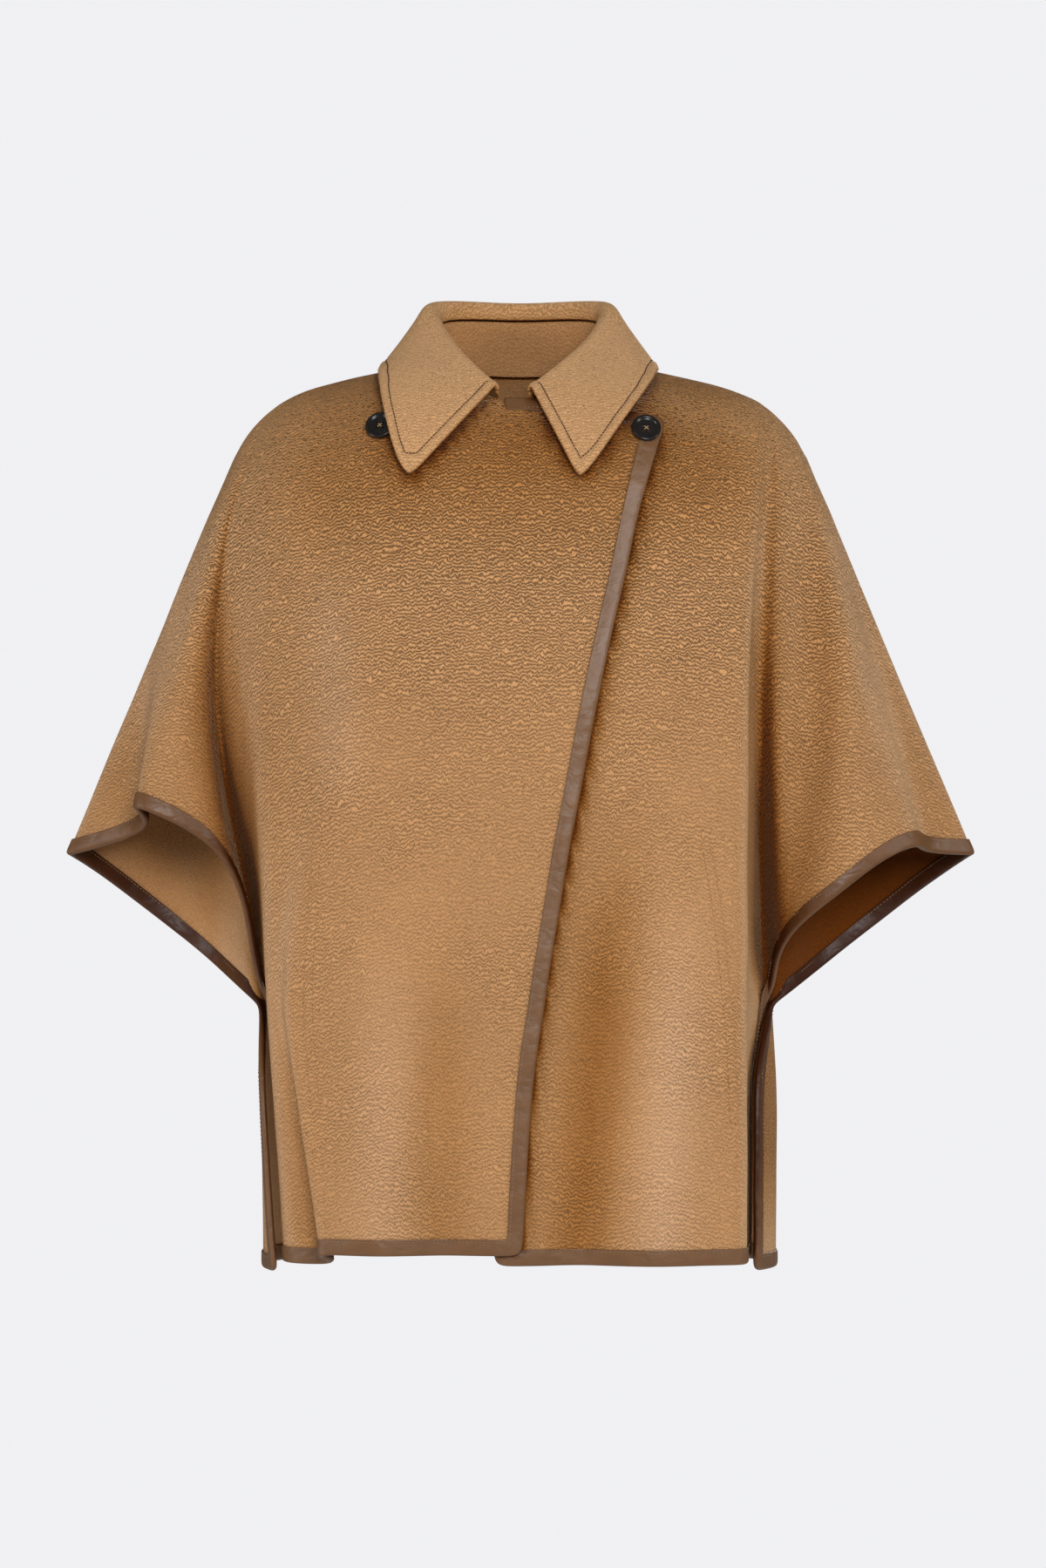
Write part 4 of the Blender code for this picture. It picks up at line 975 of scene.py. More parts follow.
def tube_faces(count, size):
    """Faces of a tube of rings, with its two ends closed."""
    faces = []
    for i in range(count - 1):
        for a in range(size):
            b = (a + 1) % size
            faces.append((i * size + a, i * size + b, (i + 1) * size + b, (i + 1) * size + a))
    return faces + [tuple(range(size))[::-1], tuple(range((count - 1) * size, count * size))]


# Thread: a row of stitches is many short capsules in one mesh.


def resampled(path, pitch):
    """Points, unit directions and normals at an even pitch along a path of (point, normal) pairs."""
    points = np.array([point for point, _ in path])
    normals = np.array([normal for _, normal in path])
    reach = np.concatenate([[0], np.cumsum(np.linalg.norm(np.diff(points, axis=0), axis=1))])
    at = np.arange(pitch / 2, reach[-1], pitch)

    def along(values, shift=0.0):
        return np.stack([np.interp(at + shift, reach, values[:, k]) for k in range(3)], axis=1)

    runs = along(points, 0.5) - along(points, -0.5)
    runs /= np.linalg.norm(runs, axis=1, keepdims=True)
    ups = along(normals)
    ups -= runs * (ups * runs).sum(axis=1, keepdims=True)
    ups /= np.linalg.norm(ups, axis=1, keepdims=True)
    return along(points), runs, ups


def stitch_faces(base):
    """Faces of one stitch, whose first point is number base."""
    faces = []
    last = base + 1 + 2 * STITCH_SIDES
    for i in range(STITCH_SIDES):
        j = (i + 1) % STITCH_SIDES
        faces.append((base, base + 1 + i, base + 1 + j))
        for a in (base + 1, base + 1 + STITCH_SIDES):
            faces.append((a + j, a + i, a + STITCH_SIDES + i, a + STITCH_SIDES + j))
        faces.append((last + STITCH_SIDES, last + j, last + i))
    return faces


def stitches(paths, pitch, length, radius):
    """Points and faces of the stitches along the paths."""
    points, faces = [], []
    for path in paths:
        for place, run, up in zip(*resampled(path, pitch)):
            aside = np.cross(run, up)
            faces += stitch_faces(len(points))
            for share, swell in STITCH_PROFILE:
                middle = place + run * share * length
                if swell == 0:
                    points.append(middle - up * radius * STITCH_SINK)
                    continue
                for i in range(STITCH_SIDES):
                    angle = 2 * math.pi * i / STITCH_SIDES
                    points.append(middle + radius * swell * (up * math.cos(angle) + aside * math.sin(angle)))
    return points, faces


# Finishes. Shader maths is written as expressions on sockets.


class Wire:
    """An output socket of a material, whose arithmetic adds Math nodes."""

    def __init__(self, finish, socket):
        self.finish, self.socket = finish, socket

    def _math(self, operation, *values):
        return self.finish.node("ShaderNodeMath", {"operation": operation}, *values)

    def __add__(self, other):
        return self._math("ADD", self, other)

    def __radd__(self, other):
        return self._math("ADD", other, self)

    def __sub__(self, other):
        return self._math("SUBTRACT", self, other)

    def __rsub__(self, other):
        return self._math("SUBTRACT", other, self)

    def __mul__(self, other):
        return self._math("MULTIPLY", self, other)

    def __pow__(self, other):
        return self._math("POWER", self, other)

    def __abs__(self):
        return self._math("ABSOLUTE", self)

    def clamped(self):
        return self._math("MINIMUM", self._math("MAXIMUM", self, 0.0), 1.0)


class Finish:
    """A material under construction."""

    def __init__(self, name):
        self.material = bpy.data.materials.new(name)
        self.material.use_nodes = True
        self.tree = self.material.node_tree
        self.shader = self.tree.nodes["Principled BSDF"]

    def node(self, kind, settings=None, *values, output=0, **named):
        """Adds a node, with its settings first and then the values or wires of its sockets."""
        made = self.tree.nodes.new(kind)
        for key, value in (settings or {}).items():
            setattr(made, key, value)
        for key, value in enumerate(values):
            self.feed(made.inputs[key], value)
        for key, value in named.items():
            self.feed(made.inputs[key.replace("_", " ")], value)
        return Wire(self, made.outputs[output])

    def feed(self, socket, value):
        if isinstance(value, Wire):
            self.tree.links.new(value.socket, socket)
        elif value is not None:
            socket.default_value = value

    def set(self, **values):
        for key, value in values.items():
            self.feed(self.shader.inputs[key.replace("_", " ")], value)

    def place(self):
        return self.node("ShaderNodeTexCoord", output="Object")

    def split(self, vector):
        """The three parts of a vector."""
        apart = self.node("ShaderNodeSeparateXYZ", None, vector).socket.node
        return [Wire(self, socket) for socket in apart.outputs]

    def join(self, x, y, z):
        return self.node("ShaderNodeCombineXYZ", None, x, y, z)

    def scaled(self, vector, scale):
        return self.node("ShaderNodeMapping", {"vector_type": "POINT"}, Vector=vector, Scale=scale)

    def noise(self, vector, scale, detail=2.0, roughness=0.5, distortion=0.0):
        return self.node(
            "ShaderNodeTexNoise", None, Vector=vector, Scale=scale, Detail=detail, Roughness=roughness,
            Distortion=distortion,
        )

    def blend(self, amount, first, second):
        """Mix of two colours, or of two wires of colour."""
        made = self.tree.nodes.new("ShaderNodeMix")
        made.data_type = "RGBA"
        colours = [socket for socket in made.inputs if socket.type == "RGBA"]
        self.feed(made.inputs[0], amount)
        for socket, value in zip(colours, (first, second)):
            self.feed(socket, value if isinstance(value, Wire) else (*value, 1.0))
        return Wire(self, next(socket for socket in made.outputs if socket.type == "RGBA"))

    def ramp(self, value, limits, first, last):
        """Soft step from first to last while the value goes from one limit to the other."""
        settings = {"interpolation_type": "SMOOTHSTEP"}
        return self.node("ShaderNodeMapRange", settings, value, *limits, first, last)

    def hollow_shade(self):
        """Painted shade: brightness from the stored closedness, which falls in folds and inside the sleeves,
        and painted light above 1 on open cloth turned to the sides.
        """
        closed_in = self.node("ShaderNodeAttribute", {"attribute_name": "hollow"}, output="Fac")
        return self.node("ShaderNodeMapRange", None, closed_in, *HOLLOW_RANGE, *PAINTED_BRIGHTNESS)

    def dimmed(self, colour, amount):
        """Colour scaled by an amount of painted shade and light, darker below 1 and lighter above it, and
        more saturated as light that goes from fibre to fibre is.
        """
        parts = self.join(*(amount**power for power in SHADE_POWERS))
        return self.node("ShaderNodeVectorMath", {"operation": "MULTIPLY"}, colour, parts)

    def bump(self, height, strength, distance):
        return self.node("ShaderNodeBump", None, Strength=strength, Distance=distance, Height=height)


def shade(colour, amount):
    return tuple(channel * amount for channel in colour[:3])


def wool_finish(name, colour, ripple_depth, yoke_shade_brightness):
    """Double-faced wool brushed into a wavy nap, with ripples that run across the cloth, and painted shade on
    the yoke, in the ripples' troughs and where the cloth is closed in.
    """
    finish = Finish(name)
    place = finish.place()
    x, y, z = finish.split(place)
    down = z - abs(y)  # runs down the chest and on over the shoulders
    ripple = finish.node(
        "ShaderNodeTexWave", {"wave_type": "BANDS", "bands_direction": "Z", "wave_profile": "SIN"},
        Vector=finish.join(x * RIPPLE_ACROSS, y * RIPPLE_ACROSS, down * RIPPLE_DOWN),
        Scale=1.0, Distortion=RIPPLE_BEND, Detail=2.0, Detail_Scale=1.0, Detail_Roughness=0.65, output="Fac",
    )
    patch = ((finish.noise(place, 9.0) - 0.42) * 4.0).clamped()
    upper = finish.ramp(z, RIPPLE_FADE, 0.0, 1.0)
    everywhere, in_patches, above = RIPPLE_DEPTHS
    crest = (ripple - 0.5) * (everywhere + patch * in_patches + upper * above) * ripple_depth
    fleck = finish.noise(finish.scaled(place, FLECK_SCALE), 1.0, roughness=0.7) - 0.5
    cloud = finish.noise(place, 7.0, detail=3.0, roughness=0.6) - 0.5
    of_crest, of_fleck, of_cloud = TONE_SHARES
    # Tone: the ripples' troughs are painted darker and their crests lighter, painted shade of the wave nap,
    # with the flecks' and clouds' own tone.
    tone = (0.5 + crest * of_crest + fleck * of_fleck + cloud * of_cloud).clamped()
    # Painted shade: the colour of the yoke is darkened down to the chest, but for the shoulders' ends, where
    # the brushed nap turns over and looks darker under the lights.
    beside = finish.ramp(abs(x), YOKE_SHADE_SIDES, 0.0, 1.0)
    painted_yoke_shade = finish.ramp(z, YOKE_SHADE_HEIGHTS, 0.0, 1.0) * (1.0 - beside) * (yoke_shade_brightness - 1.0) + 1.0
    dark, light = (shade(colour, share) for share in WOOL_TONES)
    # Painted shade and light from the closedness darken the colour in folds and lighten open cloth turned to
    # the sides.
    finish.set(
        Base_Color=finish.dimmed(finish.blend(tone, dark, light), painted_yoke_shade * finish.hollow_shade()),
        Roughness=0.92, Normal=finish.bump(crest * 1.1 + fleck * 0.9, 0.7, 0.0012),
        Specular_IOR_Level=0.08, Sheen_Weight=0.3, Sheen_Roughness=0.4, Sheen_Tint=(1.0, 0.7, 0.4, 1.0),
    )
    return finish.material


def leather_finish(name, colour):
    """Smooth satin leather with a fine grain and small puckers across the strip."""
    finish = Finish(name)
    place = finish.place()
    grain = finish.noise(place, 900.0, detail=3.0, roughness=0.6)
    pucker = finish.noise(finish.scaled(place, PUCKER_SCALE), 1.0, distortion=0.4)
    rub = finish.noise(place, 28.0, detail=3.0, roughness=0.6)
    tone = (pucker * 0.6 + rub * 0.5 + grain * 0.1 - 0.1).clamped()
    dark, light = (shade(colour, share) for share in LEATHER_TONES)
    finish.set(
        # Painted shade: the leather's colour is darkened where it is closed in, under the sleeves and on the
        # cuffs.
        Base_Color=finish.dimmed(finish.blend(tone, dark, light), finish.hollow_shade()),
        Roughness=0.34 + rub * 0.16, Normal=finish.bump(pucker + grain * 0.06, 0.7, 0.0016),
        Specular_IOR_Level=0.4,
    )
    return finish.material


def plain_finish(name, colour, roughness, mottle=0.25, size=400.0):
    """Horn or thread: one colour with a small mottle."""
    finish = Finish(name)
    fleck = finish.noise(finish.place(), size)
    tones = finish.blend(fleck, shade(colour, 1 - mottle), shade(colour, 1 + mottle))
    finish.set(Base_Color=tones, Roughness=roughness)
    return finish.material


@functools.cache
def finishes():
    cloth, trim = bpy.context.scene.cape_cloth, bpy.context.scene.cape_trim
    return {
        "wool": wool_finish("Camel wave-nap wool", cloth.colour, 1.0, YOKE_SHADE),
        "inner_wool": wool_finish("Smooth inner face", cloth.colour, 0.2, 1.0),
        "collar_wool": wool_finish("Brushed collar wool", cloth.collar_colour, 0.36, 1.0),
        "leather": leather_finish("Taupe leather", trim.leather_colour),
        "thread": plain_finish("Brown thread", trim.thread_colour, 0.7),
        "binding_thread": plain_finish("Light brown thread", trim.binding_thread_colour, 0.7),
        "button_thread": plain_finish("Tan thread", trim.button_thread_colour, 0.7),
        "horn": plain_finish("Dark horn", trim.horn_colour, 0.22, 0.5, 120.0),
    }


# Sizes and colours that a user may change.


class CapeCloth(bpy.types.PropertyGroup):
    colour: bpy.props.FloatVectorProperty(
        name="Wool", description="Colour of the body's wool", size=3, subtype="COLOR",
        default=(0.47, 0.243, 0.103),
    )
    collar_colour: bpy.props.FloatVectorProperty(
        name="Collar wool", description="Colour of the smoother collar wool", size=3, subtype="COLOR",
        default=(0.6, 0.33, 0.15),
    )
    fineness: bpy.props.IntProperty(
        name="Fineness", description="Subdivision levels of the cloth", default=2, min=1, max=3,
    )
    fuzz_length: bpy.props.FloatProperty(
        name="Fuzz", description="Length of the loose hairs at the collar's edge", default=0.0022, min=0.0,
        max=0.01, subtype="DISTANCE", unit="LENGTH",
    )


class CapeTrim(bpy.types.PropertyGroup):
    leather_colour: bpy.props.FloatVectorProperty(
        name="Leather", description="Colour of the bindings", size=3, subtype="COLOR",
        default=(0.162, 0.074, 0.028),
    )
    thread_colour: bpy.props.FloatVectorProperty(
        name="Thread", description="Colour of the stitches", size=3, subtype="COLOR",
        default=(0.085, 0.034, 0.014),
    )
    binding_thread_colour: bpy.props.FloatVectorProperty(
        name="Binding thread", description="Colour of the bindings' stitches", size=3, subtype="COLOR",
        default=(0.27, 0.17, 0.09),
    )
    button_thread_colour: bpy.props.FloatVectorProperty(
        name="Button thread", description="Colour of the thread in the buttons", size=3, subtype="COLOR",
        default=(0.36, 0.23, 0.11),
    )
    horn_colour: bpy.props.FloatVectorProperty(
        name="Horn", description="Colour of the buttons", size=3, subtype="COLOR",
        default=(0.012, 0.01, 0.009),
    )
    stitch_pitch: bpy.props.FloatProperty(
        name="Stitch pitch", description="From one stitch to the next", default=0.0033, min=0.001, max=0.01,
        subtype="DISTANCE", unit="LENGTH",
    )


class CapeStage(bpy.types.PropertyGroup):
    lens: bpy.props.FloatProperty(
        name="Lens", description="Focal length of the camera in millimetres", default=100.0, min=20, max=300,
    )
    distance: bpy.props.FloatProperty(
        name="Distance", description="From the camera to the middle of the cape", default=3.5, min=1, max=10,
        subtype="DISTANCE", unit="LENGTH",
    )
    backdrop: bpy.props.FloatProperty(
        name="Backdrop", description="Brightness of the floor and backdrop", default=0.875, min=0.0, max=1.0,
    )
    ambient: bpy.props.FloatProperty(
        name="Ambient", description="Brightness of the light from all round", default=0.14, min=0.0, max=2.0,
    )


# One operator for each group of pieces.


class CAPE_OT_panels(bpy.types.Operator):
    """Make the back and the two fronts"""

    bl_idname = "cape.panels"
    bl_label = "Panels"

    def execute(self, context):
        for panel in cut_pieces():
            points, faces, _ = shell(panel.grid, panel.outward, CLOTH)
            obj = add_piece("cape_" + panel.name, points, faces, finishes()["wool"])
            obj.data.materials.append(finishes()["inner_wool"])
            cells = len(grid_cells(panel.grid)[1])
            for polygon in obj.data.polygons[cells : 2 * cells]:
                polygon.material_index = 1
            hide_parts(panel.name)
        return {"FINISHED"}


class CAPE_OT_bindings(bpy.types.Operator):
    """Fold a leather strip round the bound edges of each panel"""

    bl_idname = "cape.bindings"
    bl_label = "Leather bindings"

    def execute(self, context):
        for panel in cut_pieces():
            _, _, normals = shell(panel.grid, panel.outward, CLOTH)
            route = binding_route(panel.grid, panel.bound)
            rings = binding_rings(panel.grid, normals, route)
            points = [point for ring in rings for point in ring]
            faces = tube_faces(len(rings), len(rings[0]))
            obj = add_piece(f"cape_{panel.name}_binding", points, faces, finishes()["leather"])
            turn_outward(obj)
            cuffs = ("left_cuff", "right_cuff") if panel.name == "back" else ("cuff",)
            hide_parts(*(f"{panel.name}_{part}_binding" for part in ("edge", *cuffs)))
        return {"FINISHED"}


class CAPE_OT_collar(bpy.types.Operator):
    """Make the collar's fall and its stand"""

    bl_idname = "cape.collar"
    bl_label = "Collar"

    def execute(self, context):
        fall = collar_fall_grid()
        for row, inner in ((0, 1), (-1, -2)):
            fall[row, -1] = lerp(fall[row, -1], fall[inner, -2], CORNER_ROUND)
        grids = {panel.name: panel.grid for panel in cut_pieces()}
        for name, grid, thickness, finish in (
            ("collar_fall", fall, COLLAR_CLOTH, "collar_wool"),
            ("collar_stand", stand_grid(fall, grids), CLOTH, "inner_wool"),
        ):
            points, faces, _ = shell(grid, (0, 0, 0), thickness)
            obj = add_piece("cape_" + name, points, faces, finishes()[finish])
            turn_outward(obj)
            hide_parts(name)
        return {"FINISHED"}


class CAPE_OT_drape(bpy.types.Operator):
    """Paint shade into the folds and inside the sleeves, refine the cloth and the leather, and let them hang
    a little unevenly
    """

    bl_idname = "cape.drape"
    bl_label = "Drape"

    def execute(self, context):
        for obj in shaded_pieces():
            refine(obj, 1)
        store_painted_shade()
        for obj in shaded_pieces():
            refine(obj, context.scene.cape_cloth.fineness - 1)
            if "collar" not in obj.name:
                soften(obj)
        collar = bpy.data.objects["cape_collar_fall"]
        refine(collar, 1)
        press_topstitch(collar)
        return {"FINISHED"}


class CAPE_OT_pockets(bpy.types.Operator):
    """Lay the folded welts along the pocket openings"""

    bl_idname = "cape.pockets"
    bl_label = "Pocket welts"

    def execute(self, context):
        for pocket in POCKETS:
            front = surface_of("cape_left_front" if pocket.side > 0 else "cape_right_front")
            heights, xs = zip(*pocket.route)
            points = []
            for z in np.linspace(heights[0], heights[-1], WELT_ROWS):
                middle = pchip(z, heights, xs)
                places = [touch(front, middle + share * WELT_WIDTH * pocket.side, z) for share in WELT_SHARES]
                row = [point + normal * rise for (point, normal), rise in zip(places, WELT_RISES)]
                sunk = [point + normal * WELT_SINK for point, normal in (places[0], places[-1])]
                points += [sunk[0], *row, sunk[1]]
            faces = tube_faces(WELT_ROWS, len(WELT_SHARES) + 2)
            obj = add_piece("cape_" + pocket.name, points, faces, finishes()["wool"])
            turn_outward(obj)
            refine(obj, 1)
            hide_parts(pocket.name)
        return {"FINISHED"}


class CAPE_OT_stitching(bpy.types.Operator):
    """Sew the collar's topstitch and the bindings"""

    bl_idname = "cape.stitching"
    bl_label = "Stitching"

    def execute(self, context):
        pitch = context.scene.cape_trim.stitch_pitch / METRE
        for panel in cut_pieces():
            _, _, normals = shell(panel.grid, panel.outward, CLOTH)
            leather = surface_of(f"cape_{panel.name}_binding")
            paths = [binding_stitch_path(panel, normals * side, leather) for side in (1, -1)]
            points, faces = stitches(paths, pitch, pitch * STITCH_LENGTH, STITCH_RADIUS)
            obj = add_piece(f"cape_{panel.name}_stitches", points, faces, finishes()["binding_thread"])
        path = topstitch_path(surface_of("cape_collar_fall"))
        points, faces = stitches([path], pitch * TOPSTITCH_PITCH, pitch * TOPSTITCH_LENGTH, TOPSTITCH_RADIUS)
        obj = add_piece("cape_collar_topstitch", points, faces, finishes()["thread"])
        return {"FINISHED"}


def binding_stitch_path(panel, normals, leather):
    """Line near the free edge of a panel's binding, on the side that the normals point to."""
    share = 1 - STITCH_INSET / BINDING
    path = []
    for edge, inner in binding_route(panel.grid, panel.bound):
        up = lerp(normals[edge], normals[inner], share)
        place = lerp(panel.grid[edge], panel.grid[inner], share) + up * STITCH_HEIGHT
        found = leather.find_nearest(Vector(place + wander(place) + up))
        path.append((np.array(found[0]) + STITCH_RISE * up, up))
    return path


def collar_edges():
    """Places along the collar's front and lower edges, each with its outward step from the next row."""
    grid = collar_fall_grid()
    first, last = ROLL_COLUMN, grid.shape[1] - 1
    edges = [(grid[0, c], grid[0, c] - grid[1, c]) for c in range(first, last + 1)]
    edges += [(grid[r, last], grid[r, last] - grid[r, last - 1]) for r in range(len(grid))]
    return edges + [(grid[-1, c], grid[-1, c] - grid[-2, c]) for c in range(last, first - 1, -1)]


def evened(line, reach):
    """Places along a line, each drawn to the middle of those about it, but for its sharp corners."""
    drawn = line.copy()
    for i in range(reach, len(line) - reach):
        before, after = line[i] - line[i - reach], line[i + reach] - line[i]
        if np.dot(before, after) > STRAIGHTEST * np.linalg.norm(before) * np.linalg.norm(after):
            drawn[i] = line[i - reach : i + reach + 1].mean(axis=0)
    return drawn


def distance_to(place, border):
    """Distance from a place to a line of points."""
    best = math.inf
    for a, b in zip(border, border[1:]):
        along = b - a
        share = min(max(np.dot(place - a, along) / max(np.dot(along, along), LEAST_STEP), 0), 1)
        best = min(best, float(np.linalg.norm(a + along * share - place)))
    return best


def topstitch_path(tree):
    """Line at an even distance inside the collar's front and lower edges, on its outer face."""
    edges = collar_edges()
    border = [point for point, _ in edges]
    kept = []
    for i, (point, outward) in enumerate(edges):
        run = border[min(i + 1, len(border) - 1)] - border[max(i - 1, 0)]
        run = run / np.linalg.norm(run)
        outward = outward - run * np.dot(outward, run)
        place = point - outward / np.linalg.norm(outward) * TOPSTITCH_INSET
        if distance_to(place, border) > TOPSTITCH_INSET * TOPSTITCH_NEAREST:
            kept.append((place, outward))
    path = []
    for place in evened(resampled(kept, TOPSTITCH_STEP)[0], TOPSTITCH_REACH):
        away = np.array((place[0], place[1], 0.0)) / math.hypot(place[0], place[1])
        location, normal, _, _ = tree.ray_cast(Vector(place + away * COLLAR_CLEAR), Vector(-away))
        path.append((np.array(location), np.array(normal)))
    return path


def press_topstitch(obj):
    """Presses a groove into the collar's outer face along its topstitch, and puffs the strip beyond it."""
    line = search_tree([place for place, _ in topstitch_path(surface_of(obj.name))])
    border = [point for point, _ in collar_edges()]
    shares = np.arange(EDGE_STEPS) / EDGE_STEPS
    edge = search_tree([lerp(a, b, share) for a, b in zip(border, border[1:]) for share in shares])
    for vertex in obj.data.vertices:
        place = vertex.co / METRE
        near_line, near_edge = line.find(place)[2], edge.find(place)[2]
        rise = -GROOVE * math.exp(-((near_line / GROOVE_WIDTH) ** 2))
        if near_edge < TOPSTITCH_INSET:
            rise += PUFF * math.sin(math.pi * near_edge / TOPSTITCH_INSET) ** PUFF_POWER
        vertex.co += vertex.normal * rise * METRE
    obj.data.update()


class CAPE_OT_buttons(bpy.types.Operator):
    """Turn the two horn buttons and sew them on"""

    bl_idname = "cape.buttons"
    bl_label = "Buttons"

    def execute(self, context):
        front = surface_of("cape_right_front")
        for name in ("button_left", "button_right"):
            low, high = (np.array(corner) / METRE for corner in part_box(name))
            middle = (low + high) / 2
            _, normal = touch(front, middle[0], middle[2])
            turn = Vector(normal).to_track_quat("Z", "Y").to_matrix().to_4x4()
            place = Matrix.Translation(Vector(middle)) @ turn
            obj = turned_button("cape_" + name, place)
            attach(obj, "root")
            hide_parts(name)
            points, faces = button_stitches()
            points = [place @ Vector(point) for point in points]
            thread = add_piece(f"cape_{name}_thread", points, faces, finishes()["button_thread"])
        return {"FINISHED"}


def turned_button(name, place):
    """Button with a raised rim and four holes, turned in millimetres and then laid in its place."""
    deselect_all()
    bpy.ops.mesh.primitive_cylinder_add(
        vertices=BUTTON_SIDES, radius=BUTTON_RADIUS, depth=BUTTON_THICK, location=(0, 0, 0),
    )
    obj = bpy.context.object
    obj.name = obj.data.name = name
    bpy.ops.object.mode_set(mode="EDIT")
    bpy.ops.mesh.select_all(action="DESELECT")
    bpy.ops.object.mode_set(mode="OBJECT")
    for polygon in obj.data.polygons:
        polygon.select = polygon.normal.z > UPRIGHT
    bpy.ops.object.mode_set(mode="EDIT")
    for thickness, depth in BUTTON_STEPS:
        bpy.ops.mesh.inset(thickness=thickness, depth=depth)
    bpy.ops.object.mode_set(mode="OBJECT")
    apply_modifier(
        obj, "BEVEL", width=BUTTON_BEVEL, segments=4, limit_method="ANGLE", angle_limit=SHARP_ANGLE,
    )
    for x, y in itertools.product((-HOLE_PITCH, HOLE_PITCH), repeat=2):
        bpy.ops.mesh.primitive_cylinder_add(
            vertices=HOLE_SIDES, radius=BUTTON_HOLE, depth=DRILL, location=(x, y, 0),
        )
        drill = bpy.context.object
        apply_modifier(obj, "BOOLEAN", operation="DIFFERENCE", object=drill, solver="EXACT")
        bpy.data.objects.remove(drill)
    obj.data.transform(Matrix.Scale(METRE, 4) @ place)
    obj.data.materials.append(finishes()["horn"])
    select_only(obj)
    bpy.ops.object.shade_smooth_by_angle(angle=SHARP_ANGLE)
    return obj


def button_stitches():
    """The thread's cross over a button that faces up."""
    up = np.array((0, 0, 1.0))
    paths = [[((*run[:2], THREAD_RISE), up), ((*run[2:], THREAD_RISE), up)] for run in THREAD_RUNS]
    return stitches(paths, THREAD_LENGTH * ONE_STITCH, THREAD_LENGTH, THREAD_RADIUS)


class CAPE_OT_fuzz(bpy.types.Operator):
    """Let loose hairs stand at the collar's edge"""

    bl_idname = "cape.fuzz"
    bl_label = "Fuzz"

    def execute(self, context):
        chance = random.Random(7)
        up = np.array((0.0, 0.0, 1.0))
        edges = collar_edges()
        corner = collar_fall_grid().shape[1] - ROLL_COLUMN
        path = [(point, up) for i, (point, _) in enumerate(edges) if i not in (corner, len(edges) - corner)]
        tree = surface_of("cape_collar_fall")
        length = context.scene.cape_cloth.fuzz_length / METRE
        points, faces = [], []
        for place, run, _ in zip(*resampled(path, HAIR_PITCH)):
            spot = place + np.array([chance.uniform(-HAIR_SPREAD, HAIR_SPREAD) for _ in range(3)])
            location, normal, _, _ = tree.find_nearest(Vector(spot + np.array(HAIR_SIDE)))
            root, normal = np.array(location), np.array(normal)
            lean = normal + run * chance.uniform(-0.8, 0.8) + up * chance.uniform(-0.9, 0.3)
            lean /= np.linalg.norm(lean)
            tip = root + lean * length * chance.uniform(0.35, 1.0)
            aside = np.cross(lean, (0.3, 1.0, 0.2))
            aside *= HAIR_RADIUS / np.linalg.norm(aside)
            third = np.cross(lean, aside)
            a, b, c, end = range(len(points), len(points) + 4)
            points += [root - lean * HAIR_ROOT + aside * u + third * v for u, v in HAIR_SECTION] + [tip]
            faces += [(a, b, end), (b, c, end), (c, a, end), (c, b, a)]
        obj = add_piece("cape_collar_fuzz", points, faces, finishes()["collar_wool"])
        return {"FINISHED"}


class CAPE_OT_cloth(bpy.types.Operator):
    """Work out the cut pieces of cloth"""

    bl_idname = "cape.cloth"
    bl_label = "Cut sizes"

    def execute(self, context):
        for panel in cut_pieces():
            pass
        return {"FINISHED"}


class CAPE_OT_stage(bpy.types.Operator):
    """Set the pale floor and backdrop, the soft lights and the camera"""

    bl_idname = "cape.stage"
    bl_label = "Stage"

    def execute(self, context):
        scene, settings = context.scene, context.scene.cape_stage
        pale_floor(settings.backdrop)
        for name, place, side, power in LIGHTS:
            light = bpy.data.lights.new(name, "AREA")
            light.shape, light.size, light.energy = "SQUARE", side, power
            lamp = bpy.data.objects.new(name, light)
            lamp.location = place
            lamp.rotation_euler = (Vector(AIM) - Vector(place)).to_track_quat("-Z", "Y").to_euler()
            scene.collection.objects.link(lamp)
        scene.world = studio(settings)
        camera = bpy.data.cameras.new("camera")
        camera.lens, camera.sensor_width = settings.lens, 36.0
        stand = bpy.data.objects.new("camera", camera)
        stand.location = (CAMERA_X, -settings.distance, CAMERA_Z)
        stand.rotation_euler = (math.pi / 2, 0, 0)
        scene.collection.objects.link(stand)
        scene.camera = stand
        scene.view_settings.view_transform = "Standard"
        return {"FINISHED"}


def pale_floor(paper):
    """Round floor of the backdrop's brightness."""
    deselect_all()
    bpy.ops.mesh.primitive_circle_add(
        vertices=FLOOR_SIDES, radius=FLOOR_RADIUS, fill_type="NGON", location=(0, 0, FLOOR_Z),
    )
    floor = bpy.context.object
    floor.name = floor.data.name = "stage_floor"
    finish = Finish("Pale floor")
    speck = finish.noise(finish.place(), 40.0, detail=3.0)
    colour = finish.blend(speck, (paper * 0.98,) * 3, (paper,) * 3)
    finish.set(Base_Color=colour, Roughness=0.8, Specular_IOR_Level=0.2)
    floor.data.materials.append(finish.material)


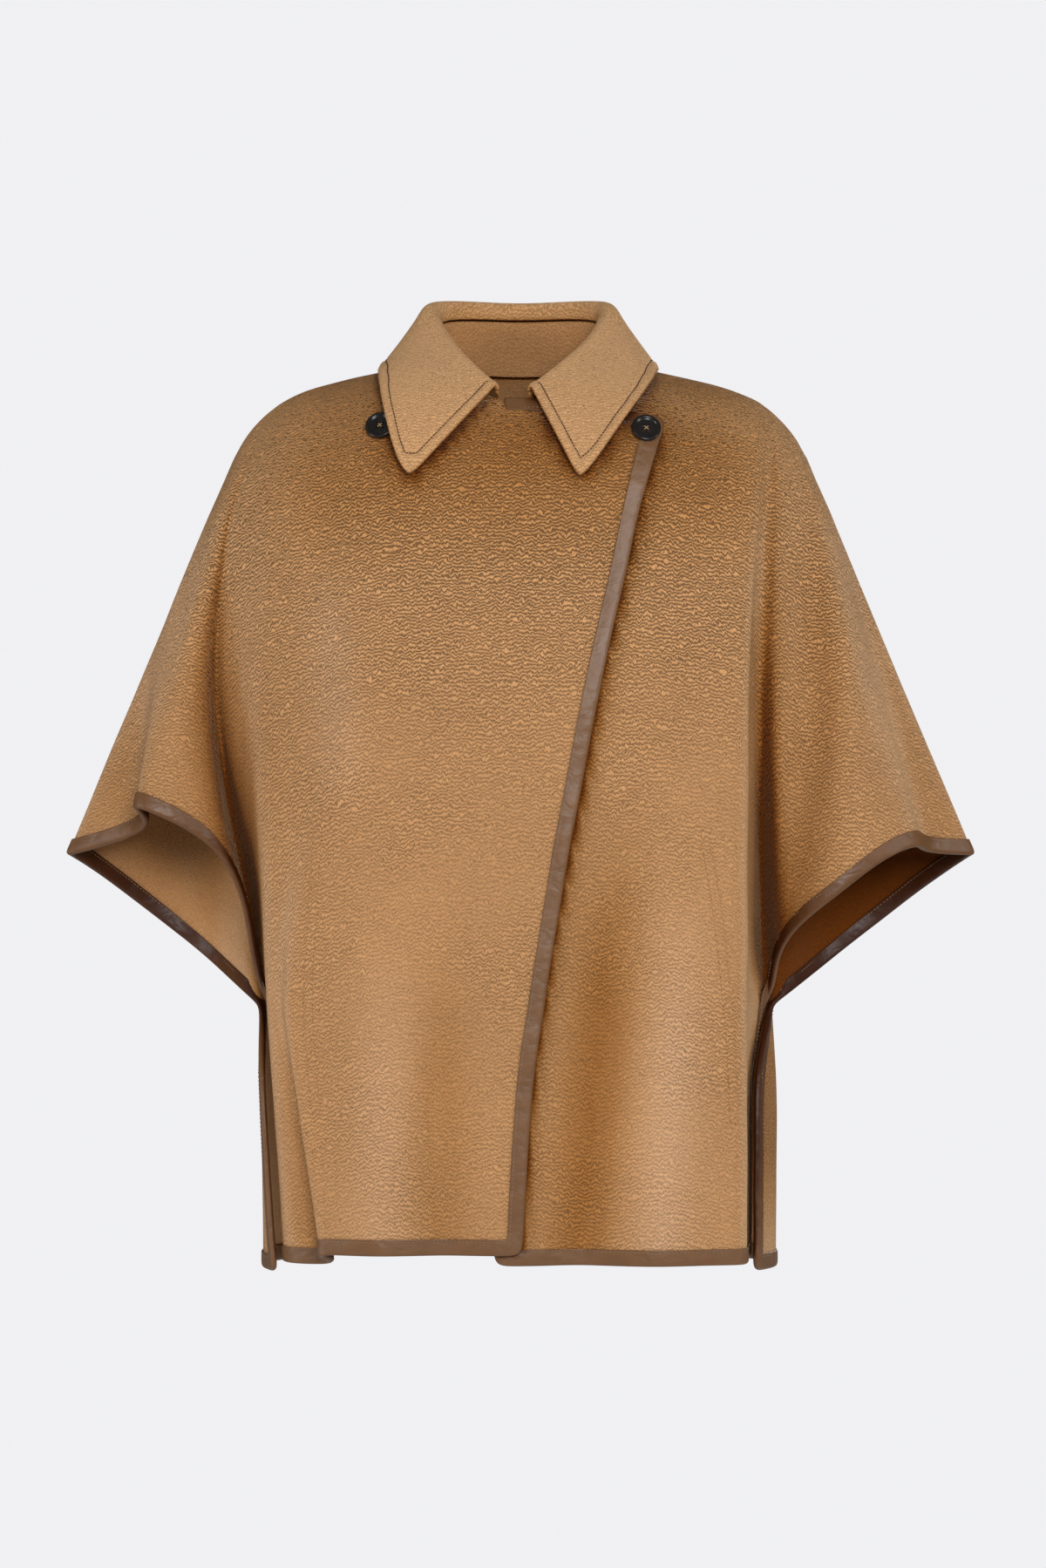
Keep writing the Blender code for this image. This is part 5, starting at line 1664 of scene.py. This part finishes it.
def studio(settings):
    """World that is pale behind the cape and lights it less than it looks."""
    world = bpy.data.worlds.new("Studio")
    world.use_nodes = True
    nodes, links = world.node_tree.nodes, world.node_tree.links
    lit = nodes["Background"]
    lit.inputs["Color"].default_value = (1.0, 0.985, 0.96, 1)
    lit.inputs["Strength"].default_value = settings.ambient
    seen = nodes.new("ShaderNodeBackground")
    seen.inputs["Color"].default_value = (settings.backdrop, settings.backdrop, settings.backdrop * 1.02, 1)
    mix = nodes.new("ShaderNodeMixShader")
    links.new(nodes.new("ShaderNodeLightPath").outputs["Is Camera Ray"], mix.inputs[0])
    links.new(lit.outputs[0], mix.inputs[1])
    links.new(seen.outputs[0], mix.inputs[2])
    links.new(mix.outputs[0], nodes["World Output"].inputs["Surface"])
    return world


class CAPE_PT_panel(bpy.types.Panel):
    """Shows the cape's settings and the buttons of its steps"""

    bl_idname = "CAPE_PT_panel"
    bl_label = "Wool cape"
    bl_space_type = "VIEW_3D"
    bl_region_type = "UI"
    bl_category = "Cape"

    def draw(self, context):
        for group in (context.scene.cape_cloth, context.scene.cape_trim, context.scene.cape_stage):
            for name in group.__annotations__:
                self.layout.prop(group, name)
        for operator in OPERATORS:
            self.layout.operator(operator.bl_idname)


GROUPS = {"cape_cloth": CapeCloth, "cape_trim": CapeTrim, "cape_stage": CapeStage}
OPERATORS = (
    CAPE_OT_panels, CAPE_OT_bindings, CAPE_OT_collar, CAPE_OT_drape, CAPE_OT_pockets, CAPE_OT_buttons,
    CAPE_OT_stitching, CAPE_OT_fuzz, CAPE_OT_cloth, CAPE_OT_stage,
)


def register():
    for cls in (*GROUPS.values(), *OPERATORS, CAPE_PT_panel):
        bpy.utils.register_class(cls)
    for name, group in GROUPS.items():
        setattr(bpy.types.Scene, name, bpy.props.PointerProperty(type=group))


def unregister():
    for name in GROUPS:
        delattr(bpy.types.Scene, name)
    for cls in reversed((*GROUPS.values(), *OPERATORS, CAPE_PT_panel)):
        bpy.utils.unregister_class(cls)


def main():
    register()
    for operator in OPERATORS:
        group, name = operator.bl_idname.split(".")
        getattr(getattr(bpy.ops, group), name)()


if __name__ == "__main__":
    main()
